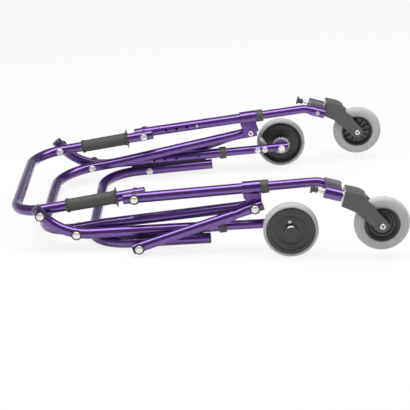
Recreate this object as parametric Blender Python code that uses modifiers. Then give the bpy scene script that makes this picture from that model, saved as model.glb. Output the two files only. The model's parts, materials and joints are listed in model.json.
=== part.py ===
"""Folding posterior walker, lying folded on its side frame. Units are metres, +Z is up.

Side points are given as (u, v): u runs down the straight part of the rear leg, v points forward of it
when the walker stands open. The folded frame lies with u almost along +X and v almost along +Z.
+Y is the user's left.
"""

import math

import bmesh
import bpy
from mathutils import Matrix, Vector

# Tubes
TUBE_R = 0.0127
TUBE_WALL = 0.0014
INNER_R = 0.0110
INNER_WALL = 0.0015
BRACE_R = 0.0122
BRACE_WALL = 0.0014
BRACE_ROD_R = 0.0105
TUBE_SIDES = 12
SMALL_SIDES = 10
CAP = 0.0025
RUN_ON = 0.0040

# Clearances
GAP = 0.0003
PIVOT_GAP = 0.0008

# Side linkage, (u, v) of each pivot when folded
PIVOT_HANDLE_REAR = (-0.0791, 0.0568)
PIVOT_HANDLE_FRONT = (0.1425, 0.0787)
PIVOT_MIDDLE = (0.0, 0.0039)
PIVOT_BRACKET = (0.4198, 0.0484)
PIVOT_BRACE_U = 0.1457

# Rear leg
REAR_LEG_BEND_U = 0.0330
REAR_LEG_BEND_R = 0.1400
REAR_LEG_BEND = math.radians(55.0)
REAR_LEG_TOP = 0.0180
REAR_LEG_END_U = 0.3474
REAR_LEG_Y = 0.2560
REAR_SPLAY = 0.0580
REAR_HOLES_U = (0.161, 0.190, 0.219)
REAR_BUTTON_U = 0.277
REAR_PITCH = 0.029
PAST_HOLE = 0.0120

# Lower crossbar, side by side with the rear legs
BAR_SPACING = 0.0280
SADDLES_U = (0.127, 0.270)
SADDLE_REACH = 0.0090
LOWER_BAR_U = 0.0280
LOWER_BAR_END_U = 0.3120
LOWER_CORNER_R = 0.1000
CORNER_STEPS = 6

# Handle bar
ARM_Y = 0.2260
HANDLE_BACK = 0.0705
HANDLE_CORNER_R = 0.0800
HANDLE_FRONT = 0.0240
GRIP_START = 0.0580
GRIP_LENGTH = 0.1195
GRIP_R = 0.0152
GRIP_FLANGE_R = 0.0240
GRIP_FLANGE = 0.0030
GRIP_SIDES = 16

# Middle crossbar
MIDDLE_BACK = 0.0890
MIDDLE_CORNER_R = 0.0950
MIDDLE_SPLAY_START = 0.0600
MIDDLE_END = 0.0150
FLAT_END = 0.0150
FLAT_REACH = 0.0220
FLAT_BLEND = 0.0220

# Front leg
FRONT_LEG_ANGLE = math.radians(2.45)
FRONT_LEG_Y = 0.2555
FRONT_SPLAY = 0.0880
FRONT_LEG_TOP = 0.0265
FRONT_PITCH = 0.0270
FRONT_BUTTON_S = 0.1390
HOLE_R = 0.0035
BUTTON_R = 0.0030
BUTTON_RISE = 0.0030

# Bracket under the front leg
SLEEVE_BACK = 0.0255
SLEEVE_LENGTH = 0.0425
SLEEVE_WALL = 0.0032
PLATE = 0.0025
PLATE_BACK = 0.0200
PLATE_FRONT = 0.0170
PLATE_DROP = 0.0085
PLATE_CORNER = 0.0030
COLLAR_LENGTH = 0.0175
COLLAR_WALL = 0.0030
COLLAR_COVER = 0.8
COLLAR_CHAMFER = 0.0010
COLLAR_SIDES = 14

# Front lower leg and its caster
FRONT_CORNER_S = 0.4239
FRONT_BEND_R = 0.0450
FRONT_TUBE_END = -0.0040
SADDLE_LENGTH = 0.0395
SADDLE_WALL = 0.0036
CASTER_Y = 0.3550
STEM_BELOW_CORNER = 0.0562
STEM_OVER = 0.0010
STEM_ANGLE = math.radians(-19.0)
STEM_R = 0.0050
HOUSING_R = 0.0142
HOUSING_LENGTH = 0.0400
HOUSING_FLOOR = 0.0045
STEM_TOP_GAP = 0.0010
CROWN_GAP = 0.0035
AXLE_DROP = 0.1028
AXLE_TRAIL = 0.0400
FORK_GAP = 0.0380
BLADE = 0.0050
BLADE_END_R = 0.0155
CROWN_FRONT = 0.0205
CROWN_BACK = 0.0180
CROWN_THICK = 0.0060
CROWN_INSET = 0.0005
PLUNGER_R = 0.0022
PLUNGER_NECK_R = 0.0050
PLUNGER_NECK = 0.0150
PLUNGER_KNOB_R = 0.0070
PLUNGER_KNOB = 0.0110
PLUNGER_FLANGE_R = 0.0110
PLUNGER_FLANGE = 0.0045
PLUNGER_PIN_GAP = 0.0006
WEB_HALF_LENGTH = 0.0135
WEB_HALF_WIDTH = 0.0060
WEB_ROUND = 0.0040
WEB_RISE = -0.0010

# Wheels
WHEEL_R = 0.0635
FRONT_TYRE_W = 0.0290
REAR_TYRE_W = 0.0300
FRONT_RIM_R = 0.0415
REAR_RIM_R = 0.0560
AXLE_R = 0.0040
RUNNING = 0.0001
REAR_AXLE = (0.4977, 0.0)
REAR_WHEEL_Y = 0.3290
WHEEL_STEPS = 24
FRONT_TYRE_SHAPE = ((0.0, 0.86), (0.35, 1.0), (0.70, 0.88), (0.92, 0.52), (1.0, 0.18))
REAR_TYRE_SHAPE = ((0.0, 0.86), (0.35, 1.0), (0.75, 0.86), (1.0, 0.58))

# Anti-roll-back ratchet
RATCHET_R = 0.0235
RATCHET_ROOT_R = 0.0190
RATCHET_TEETH = 12
RATCHET_THICK = 0.0030
PAWL_BACK = 0.0440
PAWL_WIDTH = 0.0080

# Brace
BRACE_Y_REAR = 0.2965
BRACE_Y_FRONT = 0.3035
BRACE_TAIL = 0.0160
ROD_TAIL = 0.0200
BRACE_TUBE_END = 0.0500
BRACE_OVERLAP = 0.1650

# Bolts
BOLT_R = 0.0040
BOLT_HOLE_R = 0.0043
HEAD_R = 0.0075
HEAD_HEIGHT = 0.0048
WASHER_R = 0.0098
WASHER = 0.0012
THIN_WASHER = 0.0007
NUT_R = 0.0070
NUT_HEIGHT = 0.0050
AXLE_NUT = 0.0065
AXLE_END = 0.0050

SIDES = {"left": 1.0, "right": -1.0}

MATERIALS = {
    "purple": ((0.10, 0.03, 0.30), 0.25, 0.9),
    "inner_purple": ((0.12, 0.04, 0.33), 0.28, 0.9),
    "rubber": ((0.06, 0.06, 0.055), 0.7, 0.0),
    "dark_plastic": ((0.07, 0.07, 0.06), 0.5, 0.0),
    "fork_grey": ((0.08, 0.08, 0.08), 0.45, 0.0),
    "tyre_grey": ((0.37, 0.37, 0.36), 0.75, 0.0),
    "hub_black": ((0.045, 0.045, 0.045), 0.45, 0.0),
    "nickel": ((0.75, 0.74, 0.72), 0.22, 1.0),
}


# Frame of the side plane

def rest_tilt():
    """Angle at which the rear tyres and the lower crossbar touch the same floor."""
    across = Vector((REAR_AXLE[0] - LOWER_BAR_U, REAR_AXLE[1] + BAR_SPACING))
    return math.asin((WHEEL_R - TUBE_R) / across.length) - math.atan2(across.y, across.x)


TILT = rest_tilt()
LIFT = WHEEL_R - REAR_AXLE[0] * math.sin(TILT) - REAR_AXLE[1] * math.cos(TILT)


def at(u, v, y):
    """World place of the side point (u, v) at the width y."""
    x = u * math.cos(TILT) - v * math.sin(TILT)
    z = u * math.sin(TILT) + v * math.cos(TILT) + LIFT
    return Vector((x, y, z))


def along(du, dv, dy=0.0):
    """World direction of a side-plane direction."""
    return (at(du, dv, dy) - at(0.0, 0.0, 0.0)).normalized()


def side_angle(start, end):
    return math.atan2(end[1] - start[1], end[0] - start[0])


def distance(start, end):
    return math.hypot(end[0] - start[0], end[1] - start[1])


def rear_leg_y(u):
    """Half width of the rear leg's centreline, which splays below its bend."""
    return REAR_LEG_Y + REAR_SPLAY * max(0.0, u - REAR_LEG_BEND_U)


def front_leg_point(s, drop=0.0):
    """(u, v) and half width at the length s below the front leg's top pivot."""
    u = PIVOT_HANDLE_FRONT[0] + s * math.cos(FRONT_LEG_ANGLE) + drop * math.sin(FRONT_LEG_ANGLE)
    v = PIVOT_HANDLE_FRONT[1] + s * math.sin(FRONT_LEG_ANGLE) - drop * math.cos(FRONT_LEG_ANGLE)
    return u, v, FRONT_LEG_Y + FRONT_SPLAY * s


def bracket_s():
    """Length below the front leg's top pivot at which the bracket's pivot lies."""
    return (PIVOT_BRACKET[0] - PIVOT_HANDLE_FRONT[0]) / math.cos(FRONT_LEG_ANGLE)


def bracket_y():
    """Half width of the bracket's middle plane, straight under the front leg."""
    return FRONT_LEG_Y + FRONT_SPLAY * bracket_s()


def sleeve_start():
    return bracket_s() - SLEEVE_BACK


def front_leg_end():
    """Length at which the leg ends: the collar covers its last stretch, clear of the sleeve."""
    return sleeve_start() + SLEEVE_LENGTH + PIVOT_GAP + COLLAR_LENGTH * COLLAR_COVER


PIVOT_BRACE = (PIVOT_BRACE_U, -BAR_SPACING)


# Scene helpers

def clear_scene():
    for obj in list(bpy.data.objects):
        bpy.data.objects.remove(obj, do_unlink=True)
    for group in list(bpy.data.collections):
        bpy.data.collections.remove(group)


def new_collection(name):
    group = bpy.data.collections.new(name)
    bpy.context.scene.collection.children.link(group)
    return group


clear_scene()
WALKER = new_collection("posterior_walker")
CUTTERS = new_collection("cutters")


def make_material(name):
    colour, roughness, metallic = MATERIALS[name]
    material = bpy.data.materials.new(name)
    material.use_nodes = True
    shader = material.node_tree.nodes["Principled BSDF"]
    shader.inputs["Base Color"].default_value = (*colour, 1.0)
    shader.inputs["Roughness"].default_value = roughness
    shader.inputs["Metallic"].default_value = metallic
    return material


def mesh_object(name, mesh, group):
    obj = bpy.data.objects.new(name, mesh)
    group.objects.link(obj)
    return obj


def evaluated_mesh(obj):
    bpy.context.view_layer.update()
    graph = bpy.context.evaluated_depsgraph_get()
    return bpy.data.meshes.new_from_object(obj.evaluated_get(graph))


def baked(obj, group):
    """The object as a plain mesh in world coordinates, with loose caps welded."""
    mesh = evaluated_mesh(obj)
    name = obj.name
    matrix = obj.matrix_world.copy()
    bpy.data.objects.remove(obj, do_unlink=True)
    shape = bmesh.new()
    shape.from_mesh(mesh)
    bmesh.ops.remove_doubles(shape, verts=shape.verts, dist=1e-6)
    shape.transform(matrix)
    bmesh.ops.recalc_face_normals(shape, faces=shape.faces)
    if shape.calc_volume(signed=True) < 0.0:
        bmesh.ops.reverse_faces(shape, faces=shape.faces)
    shape.to_mesh(mesh)
    shape.free()
    return mesh_object(name, mesh, group)


def swept(name, points, radius, sides, group):
    """A solid round bar along a list of world points."""
    curve = bpy.data.curves.new(name, "CURVE")
    curve.dimensions = "3D"
    curve.bevel_depth = radius
    curve.bevel_resolution = sides // 2 - 2
    curve.use_fill_caps = True
    spline = curve.splines.new("POLY")
    spline.points.add(len(points) - 1)
    for point, place in zip(spline.points, points):
        point.co = (*place, 1.0)
    obj = bpy.data.objects.new(name, curve)
    group.objects.link(obj)
    return baked(obj, group)


def around(radius, sides):
    """Radius of a many-sided bore that clears a round bar at its flats."""
    return (radius + GAP) / math.cos(math.pi / sides)


def lengthened(points, extra):
    """The same path with both ends run on by a little."""
    first = points[0] + (points[0] - points[1]).normalized() * extra
    last = points[-1] + (points[-1] - points[-2]).normalized() * extra
    return [first] + list(points[1:-1]) + [last]


def subtract(target, cutter):
    cutter.hide_render = True
    cutter.display_type = "WIRE"
    cut = target.modifiers.new(cutter.name, "BOOLEAN")
    cut.operation = "DIFFERENCE"
    cut.solver = "EXACT"
    cut.object = cutter
    target["cutters"] = [*target.get("cutters", []), cutter.name]


def tube(name, points, radius, wall, capped=(False, False), welded=()):
    """A tube along a list of world points, with other solids welded to it before it is bored."""
    obj = swept(name, points, radius, TUBE_SIDES, WALKER)
    if welded:
        obj = joined(obj, welded)
    path = list(points)
    if capped[0]:
        path[0] += (path[1] - path[0]).normalized() * (CAP + RUN_ON)
    if capped[1]:
        path[-1] += (path[-2] - path[-1]).normalized() * (CAP + RUN_ON)
    core = swept(name + "_bore", lengthened(path, RUN_ON), radius - wall, TUBE_SIDES, CUTTERS)
    subtract(obj, core)
    return obj


def aligned(direction, start):
    """Matrix that takes local +Z to the direction, from the given start."""
    turn = Vector((0.0, 0.0, 1.0)).rotation_difference(Vector(direction).normalized())
    return Matrix.Translation(start) @ turn.to_matrix().to_4x4()


def turned(name, profile, start, direction, steps=SMALL_SIDES, group=None):
    """A solid of revolution: profile holds (radius, height) down its outer side, top to bottom."""
    mesh = bpy.data.meshes.new(name)
    closed = profile[0][0] > 0.0
    count = len(profile)
    edges = [(i, i + 1) for i in range(count - 1)]
    if closed:
        edges.append((count - 1, 0))
    mesh.from_pydata([(radius, 0.0, height) for radius, height in profile], edges, [])
    obj = mesh_object(name, mesh, group or WALKER)
    screw = obj.modifiers.new("screw", "SCREW")
    screw.steps = steps
    screw.render_steps = steps
    screw.use_merge_vertices = True
    screw.merge_threshold = 0.00001
    obj.matrix_world = aligned(direction, start)
    return baked(obj, group or WALKER)


def rod(name, start, end, radius, sides=SMALL_SIDES, group=None):
    length = (end - start).length
    profile = [(0.0, length), (radius, length), (radius, 0.0), (0.0, 0.0)]
    return turned(name, profile, start, end - start, sides, group)


def drill(target, name, middle, direction, radius, length, sides=SMALL_SIDES):
    half = Vector(direction).normalized() * length / 2
    cutter = rod(target.name + "_" + name, middle - half, middle + half, radius, sides, CUTTERS)
    subtract(target, cutter)


def slab(name, outline, thickness, group=None):
    """A flat plate: outline holds (u, v) points, extruded along Y about zero width."""
    curve = bpy.data.curves.new(name, "CURVE")
    curve.dimensions = "2D"
    curve.fill_mode = "BOTH"
    curve.extrude = thickness / 2
    spline = curve.splines.new("POLY")
    spline.points.add(len(outline) - 1)
    spline.use_cyclic_u = True
    for point, (u, v) in zip(spline.points, outline):
        point.co = (u, v, 0.0, 1.0)
    obj = bpy.data.objects.new(name, curve)
    (group or WALKER).objects.link(obj)
    return obj


def placed_slab(name, outline, thickness, y, group=None):
    """The plate of slab, set in the side plane at the width y."""
    obj = slab(name, outline, thickness, group)
    x_axis = along(1.0, 0.0)
    z_axis = along(0.0, 1.0)
    y_axis = x_axis.cross(z_axis)
    turn = Matrix((x_axis, z_axis, y_axis)).transposed().to_4x4()
    obj.matrix_world = Matrix.Translation(at(0.0, 0.0, y)) @ turn
    return baked(obj, group or WALKER)


def joined(target, others):
    """Target with the other solids united into it."""
    for other in others:
        union = target.modifiers.new(other.name, "BOOLEAN")
        union.operation = "UNION"
        union.solver = "EXACT"
        union.object = other
    name = target.name
    mesh = evaluated_mesh(target)
    for other in others:
        bpy.data.objects.remove(other, do_unlink=True)
    group = target.users_collection[0]
    bpy.data.objects.remove(target, do_unlink=True)
    return mesh_object(name, mesh, group)


def arc(centre, radius, start, end, steps):
    """(u, v) points along an arc, both ends included."""
    angles = [start + (end - start) * i / steps for i in range(steps + 1)]
    return [(centre[0] + radius * math.cos(a), centre[1] + radius * math.sin(a)) for a in angles]


# Bodies: each is an empty on its joint, and its pieces hang from it

BODIES = {}


def add_body(name, place, parent=None):
    empty = bpy.data.objects.new("joint_" + name, None)
    empty.empty_display_size = 0.02
    WALKER.objects.link(empty)
    BODIES[name] = (empty, place.copy())
    if parent is None:
        empty.location = place
        return
    parent_empty, parent_place = BODIES[parent]
    empty.parent = parent_empty
    empty.location = place - parent_place


def give(obj, body, material):
    """Hangs a piece, and its cutters, from the body's empty."""
    empty, place = BODIES[body]
    for piece in [obj] + [bpy.data.objects[name] for name in obj.get("cutters", [])]:
        piece.data.transform(Matrix.Translation(-place) @ piece.matrix_world)
        piece.matrix_world = Matrix.Identity(4)
        piece.parent = empty
    obj.data.materials.clear()
    obj.data.materials.append(MATERIAL[material])
    obj.data.shade_smooth()
    obj.data.set_sharp_from_angle(angle=math.radians(35.0))
    return obj


MATERIAL = {name: make_material(name) for name in MATERIALS}


# Bolts

def bend_depth(run, radius):
    """How far a bend has left its straight line after the given run."""
    return radius - math.sqrt(radius ** 2 - max(0.0, run) ** 2)


def bolt(name, u, v, stack, sign, bend=0.0):
    """A through bolt: stack holds (inner face, outer face) of each tube it clamps, inside to outside."""
    inner = stack[0][0] - PIVOT_GAP - bend
    outer = stack[-1][1] + PIVOT_GAP
    top = outer + WASHER + HEAD_HEIGHT
    profile = [
        (0.0, top),
        (HEAD_R * 0.62, top - HEAD_HEIGHT * 0.22),
        (HEAD_R, outer + WASHER + HEAD_HEIGHT * 0.3),
        (HEAD_R, outer + WASHER),
        (WASHER_R, outer + WASHER),
        (WASHER_R, outer),
        (BOLT_R, outer),
    ]
    for below, above in reversed(list(zip(stack[:-1], stack[1:]))):
        high = above[0] - PIVOT_GAP
        low = below[1] + PIVOT_GAP
        if high - low > WASHER / 2:
            profile += [(BOLT_R, high), (WASHER_R, high), (WASHER_R, low), (BOLT_R, low)]
    profile += [
        (BOLT_R, inner),
        (NUT_R, inner),
        (NUT_R, inner - NUT_HEIGHT),
        (0.0, inner - NUT_HEIGHT),
    ]
    profile = [(radius, height - inner) for radius, height in profile]
    return turned(name, profile, at(u, v, sign * inner), (0.0, sign, 0.0))


def flatten(obj, middle, direction, radius):
    """Squeezes a tube's end in Y round its pivot, past a short tapering stretch."""
    for piece in [obj] + [bpy.data.objects[name] for name in obj.get("cutters", [])]:
        for vert in piece.data.vertices:
            run = (vert.co - middle).dot(direction)
            centre = middle + direction * run
            if run < -FLAT_REACH * 1.1 or (vert.co - centre).length > radius * 1.5:
                continue
            vert.co.y = centre.y + (vert.co.y - centre.y) * FLAT_END / (2 * radius)


# Pieces of the rear frame

def rear_leg_path(sign):
    bend_centre = (REAR_LEG_BEND_U, REAR_LEG_BEND_R)
    start = math.radians(-90.0) - REAR_LEG_BEND
    bend = arc(bend_centre, REAR_LEG_BEND_R, start, math.radians(-90.0), 7)
    lean = start - math.radians(90.0)
    top = (
        bend[0][0] + REAR_LEG_TOP * math.cos(lean),
        bend[0][1] + REAR_LEG_TOP * math.sin(lean),
    )
    points = [top] + bend + [(REAR_LEG_END_U, 0.0)]
    return [at(u, v, sign * rear_leg_y(u)) for u, v in points]


def rear_leg(side, sign):
    leg = tube("rear_leg_" + side, rear_leg_path(sign), TUBE_R, TUBE_WALL, (True, False))
    width = Vector((0.0, sign, 0.0))
    for label, (u, v) in (("top_bolt", PIVOT_HANDLE_REAR), ("bolt", PIVOT_MIDDLE)):
        drill(leg, label, at(u, v, sign * REAR_LEG_Y), width, BOLT_HOLE_R, 0.04)
    for i, u in enumerate((*REAR_HOLES_U, REAR_BUTTON_U)):
        face = at(u, 0.0, sign * (rear_leg_y(u) - TUBE_R))
        drill(leg, f"hole_{i + 1}", face, width, HOLE_R, 0.012, 8)
    give(leg, "rear_frame", "purple")


def collar_profile(cover):
    """Sleeve over the outer tube for the covered length, then a lip round the inner tube."""
    outer = TUBE_R + COLLAR_WALL
    wide = around(TUBE_R, COLLAR_SIDES)
    narrow = around(INNER_R, COLLAR_SIDES)
    return [
        (outer - COLLAR_CHAMFER, COLLAR_LENGTH),
        (outer, COLLAR_LENGTH - COLLAR_CHAMFER),
        (outer, COLLAR_CHAMFER),
        (outer - COLLAR_CHAMFER, 0.0),
        (wide, 0.0),
        (wide, cover + GAP),
        (narrow, cover + GAP),
        (narrow, COLLAR_LENGTH),
    ]


def rear_collar(side, sign):
    """Plastic sleeve over the rear leg's lower end, with a lip that the inner tube runs through."""
    start = REAR_LEG_END_U - COLLAR_LENGTH * COLLAR_COVER
    place = at(start, 0.0, sign * rear_leg_y(start))
    direction = along(1.0, 0.0, sign * REAR_SPLAY)
    cover = COLLAR_LENGTH * COLLAR_COVER
    collar = turned("rear_collar_" + side, collar_profile(cover), place, direction, COLLAR_SIDES)
    give(collar, "rear_frame", "dark_plastic")


def lower_bar_path():
    """The U beside the rear legs: both arms follow the legs' splay."""
    v = -BAR_SPACING
    half = []
    corner_y = rear_leg_y(LOWER_BAR_U + LOWER_CORNER_R)
    centre = (LOWER_BAR_U + LOWER_CORNER_R, corner_y - LOWER_CORNER_R)
    half.append((LOWER_BAR_END_U, rear_leg_y(LOWER_BAR_END_U)))
    half += arc(centre, LOWER_CORNER_R, math.radians(90.0), math.radians(180.0), CORNER_STEPS)
    left = [at(u, v, y) for u, y in half]
    right = [at(u, v, -y) for u, y in reversed(half)]
    return left + right


def saddle(side, sign, u):
    """Thin block between the rear leg and the lower crossbar's arm, joined to the arm."""
    top = -TUBE_R - GAP
    low = -BAR_SPACING + TUBE_R * 0.7
    outline = [(u - SADDLE_REACH, low), (u + SADDLE_REACH, low)]
    outline += [(u + SADDLE_REACH, top), (u - SADDLE_REACH, top)]
    return placed_slab(f"saddle_{side}_{u:.3f}", outline, TUBE_R, sign * rear_leg_y(u))


def lower_crossbar():
    saddles = [saddle(side, sign, u) for side, sign in SIDES.items() for u in SADDLES_U]
    bar = tube("lower_crossbar", lower_bar_path(), TUBE_R, TUBE_WALL, (True, True), saddles)
    width = Vector((0.0, 1.0, 0.0))
    for side, sign in SIDES.items():
        y = sign * rear_leg_y(PIVOT_BRACE_U)
        drill(bar, side + "_bolt", at(*PIVOT_BRACE, y), width, BOLT_HOLE_R, 0.04)
    give(bar, "rear_frame", "purple")


def rear_bolts(side, sign):
    arm = (ARM_Y - TUBE_R, ARM_Y + TUBE_R)
    leg = (REAR_LEG_Y - TUBE_R, REAR_LEG_Y + TUBE_R)
    bend = bend_depth(HANDLE_CORNER_R - HANDLE_BACK + NUT_R, HANDLE_CORNER_R)
    top = bolt("handle_rear_bolt_" + side, *PIVOT_HANDLE_REAR, (arm, leg), sign, bend)
    give(top, "rear_frame", "nickel")
    bend = bend_depth(MIDDLE_CORNER_R - MIDDLE_BACK + NUT_R, MIDDLE_CORNER_R)
    middle = bolt("middle_bolt_" + side, *PIVOT_MIDDLE, (arm, leg), sign, bend)
    give(middle, "rear_frame", "nickel")
    bar_y = rear_leg_y(PIVOT_BRACE_U)
    bar = (bar_y - TUBE_R, bar_y + TUBE_R)
    brace = (BRACE_Y_REAR - BRACE_R, BRACE_Y_REAR + BRACE_R)
    give(bolt("brace_bolt_" + side, *PIVOT_BRACE, (bar, brace), sign), "rear_frame", "nickel")


# Handle bar and grips

def arm_point(start, end, s, y):
    angle = side_angle(start, end)
    return at(start[0] + s * math.cos(angle), start[1] + s * math.sin(angle), y)


def u_path(start, end, half):
    """World path of a planar U whose arms run from start towards end; half holds (s, y) of one side."""
    left = [arm_point(start, end, s, y) for s, y in half]
    right = [arm_point(start, end, s, -y) for s, y in reversed(half)]
    return left + right


def handle_bar():
    reach = distance(PIVOT_HANDLE_REAR, PIVOT_HANDLE_FRONT)
    half = [(reach + HANDLE_FRONT, ARM_Y)]
    centre = (HANDLE_CORNER_R - HANDLE_BACK, ARM_Y - HANDLE_CORNER_R)
    half += arc(centre, HANDLE_CORNER_R, math.radians(90.0), math.radians(180.0), CORNER_STEPS)
    path = u_path(PIVOT_HANDLE_REAR, PIVOT_HANDLE_FRONT, half)
    bar = tube("handle_bar", path, TUBE_R, TUBE_WALL, (True, True))
    width = Vector((0.0, 1.0, 0.0))
    for side, sign in SIDES.items():
        for label, pivot in (("rear", PIVOT_HANDLE_REAR), ("front", PIVOT_HANDLE_FRONT)):
            drill(bar, f"{side}_{label}_bolt", at(*pivot, sign * ARM_Y), width, BOLT_HOLE_R, 0.04)
    give(bar, "handle", "purple")


def grip(side, sign):
    """Rubber grip with a thin conical flange at its front end."""
    inner = around(TUBE_R, GRIP_SIDES)
    profile = [
        (inner, GRIP_LENGTH + GRIP_FLANGE),
        (GRIP_R, GRIP_LENGTH + GRIP_FLANGE),
        (GRIP_FLANGE_R, GRIP_LENGTH + GRIP_FLANGE * 0.4),
        (GRIP_FLANGE_R, GRIP_LENGTH - GRIP_FLANGE * 0.3),
        (GRIP_R + 0.0012, GRIP_LENGTH - GRIP_FLANGE * 1.6),
        (GRIP_R, GRIP_LENGTH * 0.8),
        (GRIP_R, 0.006),
        (GRIP_R + 0.0008, 0.005),
        (GRIP_R + 0.0008, 0.0),
        (inner, 0.0),
    ]
    start = arm_point(PIVOT_HANDLE_REAR, PIVOT_HANDLE_FRONT, GRIP_START, sign * ARM_Y)
    angle = side_angle(PIVOT_HANDLE_REAR, PIVOT_HANDLE_FRONT)
    direction = along(math.cos(angle), math.sin(angle))
    give(turned("grip_" + side, profile, start, direction, GRIP_SIDES), "handle", "rubber")


def fixed_head(name, pivot, face, sign):
    """A domed head and washer standing on a tube's outer face, with a foot sunk in its wall."""
    foot = face - TUBE_WALL * 2
    profile = [
        (0.0, face + WASHER + HEAD_HEIGHT),
        (HEAD_R * 0.62, face + WASHER + HEAD_HEIGHT * 0.78),
        (HEAD_R, face + WASHER + HEAD_HEIGHT * 0.3),
        (HEAD_R, face + WASHER),
        (WASHER_R, face + WASHER),
        (WASHER_R, face),
        (HEAD_R, face),
        (HEAD_R, foot),
        (0.0, foot),
    ]
    profile = [(radius, height - foot) for radius, height in profile]
    return turned(name, profile, at(*pivot, sign * foot), (0.0, sign, 0.0))


def handle_front_bolt(side, sign):
    """The inner half of the top front pivot's bolt: it ends short of the leg's half."""
    inner = ARM_Y - TUBE_R - PIVOT_GAP
    outer = ARM_Y + TUBE_R + GAP
    profile = [
        (0.0, outer + THIN_WASHER),
        (WASHER_R, outer + THIN_WASHER),
        (WASHER_R, outer),
        (BOLT_R, outer),
        (BOLT_R, inner),
        (WASHER_R, inner),
        (WASHER_R, inner - WASHER),
        (HEAD_R, inner - WASHER),
        (HEAD_R * 0.8, inner - WASHER - HEAD_HEIGHT * 0.8),
        (0.0, inner - WASHER - HEAD_HEIGHT),
    ]
    start = inner - WASHER - HEAD_HEIGHT
    profile = [(radius, height - start) for radius, height in profile]
    place = at(*PIVOT_HANDLE_FRONT, sign * start)
    give(turned("handle_front_bolt_" + side, profile, place, (0.0, sign, 0.0)), "handle", "nickel")


# Middle crossbar

def middle_crossbar():
    reach = distance(PIVOT_MIDDLE, PIVOT_BRACKET)
    flat_start = reach - FLAT_REACH
    half = [(reach + MIDDLE_END, bracket_y()), (flat_start, bracket_y())]
    slope = (bracket_y() - ARM_Y) / (flat_start - MIDDLE_SPLAY_START)
    half.append((flat_start - FLAT_BLEND, bracket_y() - slope * FLAT_BLEND))
    half.append((MIDDLE_SPLAY_START, ARM_Y))
    centre = (MIDDLE_CORNER_R - MIDDLE_BACK, ARM_Y - MIDDLE_CORNER_R)
    half += arc(centre, MIDDLE_CORNER_R, math.radians(90.0), math.radians(180.0), CORNER_STEPS)
    bar = tube("middle_crossbar", u_path(PIVOT_MIDDLE, PIVOT_BRACKET, half), TUBE_R, TUBE_WALL)
    angle = side_angle(PIVOT_MIDDLE, PIVOT_BRACKET)
    direction = along(math.cos(angle), math.sin(angle))
    width = Vector((0.0, 1.0, 0.0))
    for side, sign in SIDES.items():
        middle = at(*PIVOT_BRACKET, sign * bracket_y())
        flatten(bar, middle, direction, TUBE_R)
    for side, sign in SIDES.items():
        middle = at(*PIVOT_BRACKET, sign * bracket_y())
        drill(bar, side + "_rear_bolt", at(*PIVOT_MIDDLE, sign * ARM_Y), width, BOLT_HOLE_R, 0.04)
        drill(bar, side + "_front_bolt", middle, width, BOLT_HOLE_R, 0.04)
    give(bar, "middle_bar", "purple")


def plate_faces():
    """(inner, outer) half widths of the bracket's two plates."""
    inner_plate = bracket_y() - FLAT_END / 2 - PIVOT_GAP
    outer_plate = bracket_y() + FLAT_END / 2 + PIVOT_GAP
    return (inner_plate - PLATE, inner_plate), (outer_plate, outer_plate + PLATE)


def bracket_bolt(side, sign):
    """Bolt through the bracket's plates and the middle crossbar's end, with a spacer up to the brace."""
    inner_plate, outer_plate = plate_faces()
    inner = inner_plate[0] - GAP
    outer = outer_plate[1] + GAP
    spacer = BRACE_Y_FRONT - FLAT_END / 2 - PIVOT_GAP
    profile = [
        (0.0, spacer),
        (WASHER_R, spacer),
        (WASHER_R, outer),
        (BOLT_R, outer),
        (BOLT_R, inner),
        (WASHER_R, inner),
        (WASHER_R, inner - WASHER),
        (HEAD_R, inner - WASHER),
        (HEAD_R * 0.8, inner - WASHER - HEAD_HEIGHT * 0.8),
        (0.0, inner - WASHER - HEAD_HEIGHT),
    ]
    start = inner - WASHER - HEAD_HEIGHT
    profile = [(radius, height - start) for radius, height in profile]
    place = at(*PIVOT_BRACKET, sign * start)
    give(turned("bracket_bolt_" + side, profile, place, (0.0, sign, 0.0)), "middle_bar", "nickel")


# Front leg

def front_leg(side, sign):
    body = "front_leg_" + side
    ends = (-FRONT_LEG_TOP, front_leg_end())
    points = []
    for s in ends:
        u, v, y = front_leg_point(s)
        points.append(at(u, v, sign * y))
    head = leg_bolt_head(side, sign)
    leg = tube("front_leg_" + side, points, TUBE_R, TUBE_WALL, (True, False), [head])
    width = Vector((0.0, sign, 0.0))
    for i in range(5):
        u, v, y = front_leg_point(FRONT_BUTTON_S + (i - 3) * FRONT_PITCH)
        drill(leg, f"hole_{i + 1}", at(u, v, sign * (y - TUBE_R)), width, HOLE_R, 0.012, 8)
    give(leg, body, "purple")


def leg_bolt_head(side, sign):
    """The outer half of the top front pivot's bolt, joined to the leg's outer wall."""
    return fixed_head("leg_bolt_" + side, PIVOT_HANDLE_FRONT, FRONT_LEG_Y + TUBE_R, sign)


def leg_direction(sign):
    return along(math.cos(FRONT_LEG_ANGLE), math.sin(FRONT_LEG_ANGLE), sign * FRONT_SPLAY)


def plate_outline():
    """Side view of a bracket plate: as long as the sleeve at its top, square with cut corners below."""
    u, v = PIVOT_BRACKET
    top = front_leg_point(bracket_s())[1]
    shoulder = top - TUBE_R - SLEEVE_WALL - PLATE_DROP
    low = v - PLATE_DROP
    front = u + min(PLATE_FRONT, SLEEVE_LENGTH - SLEEVE_BACK)
    return [
        (u - SLEEVE_BACK + PLATE_CORNER, top),
        (u - SLEEVE_BACK + PLATE_CORNER, top - TUBE_R),
        (u - PLATE_BACK, shoulder),
        (u - PLATE_BACK, low + PLATE_CORNER),
        (u - PLATE_BACK + PLATE_CORNER, low),
        (front - PLATE_CORNER, low),
        (front, low + PLATE_CORNER),
        (front, top),
    ]


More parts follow.
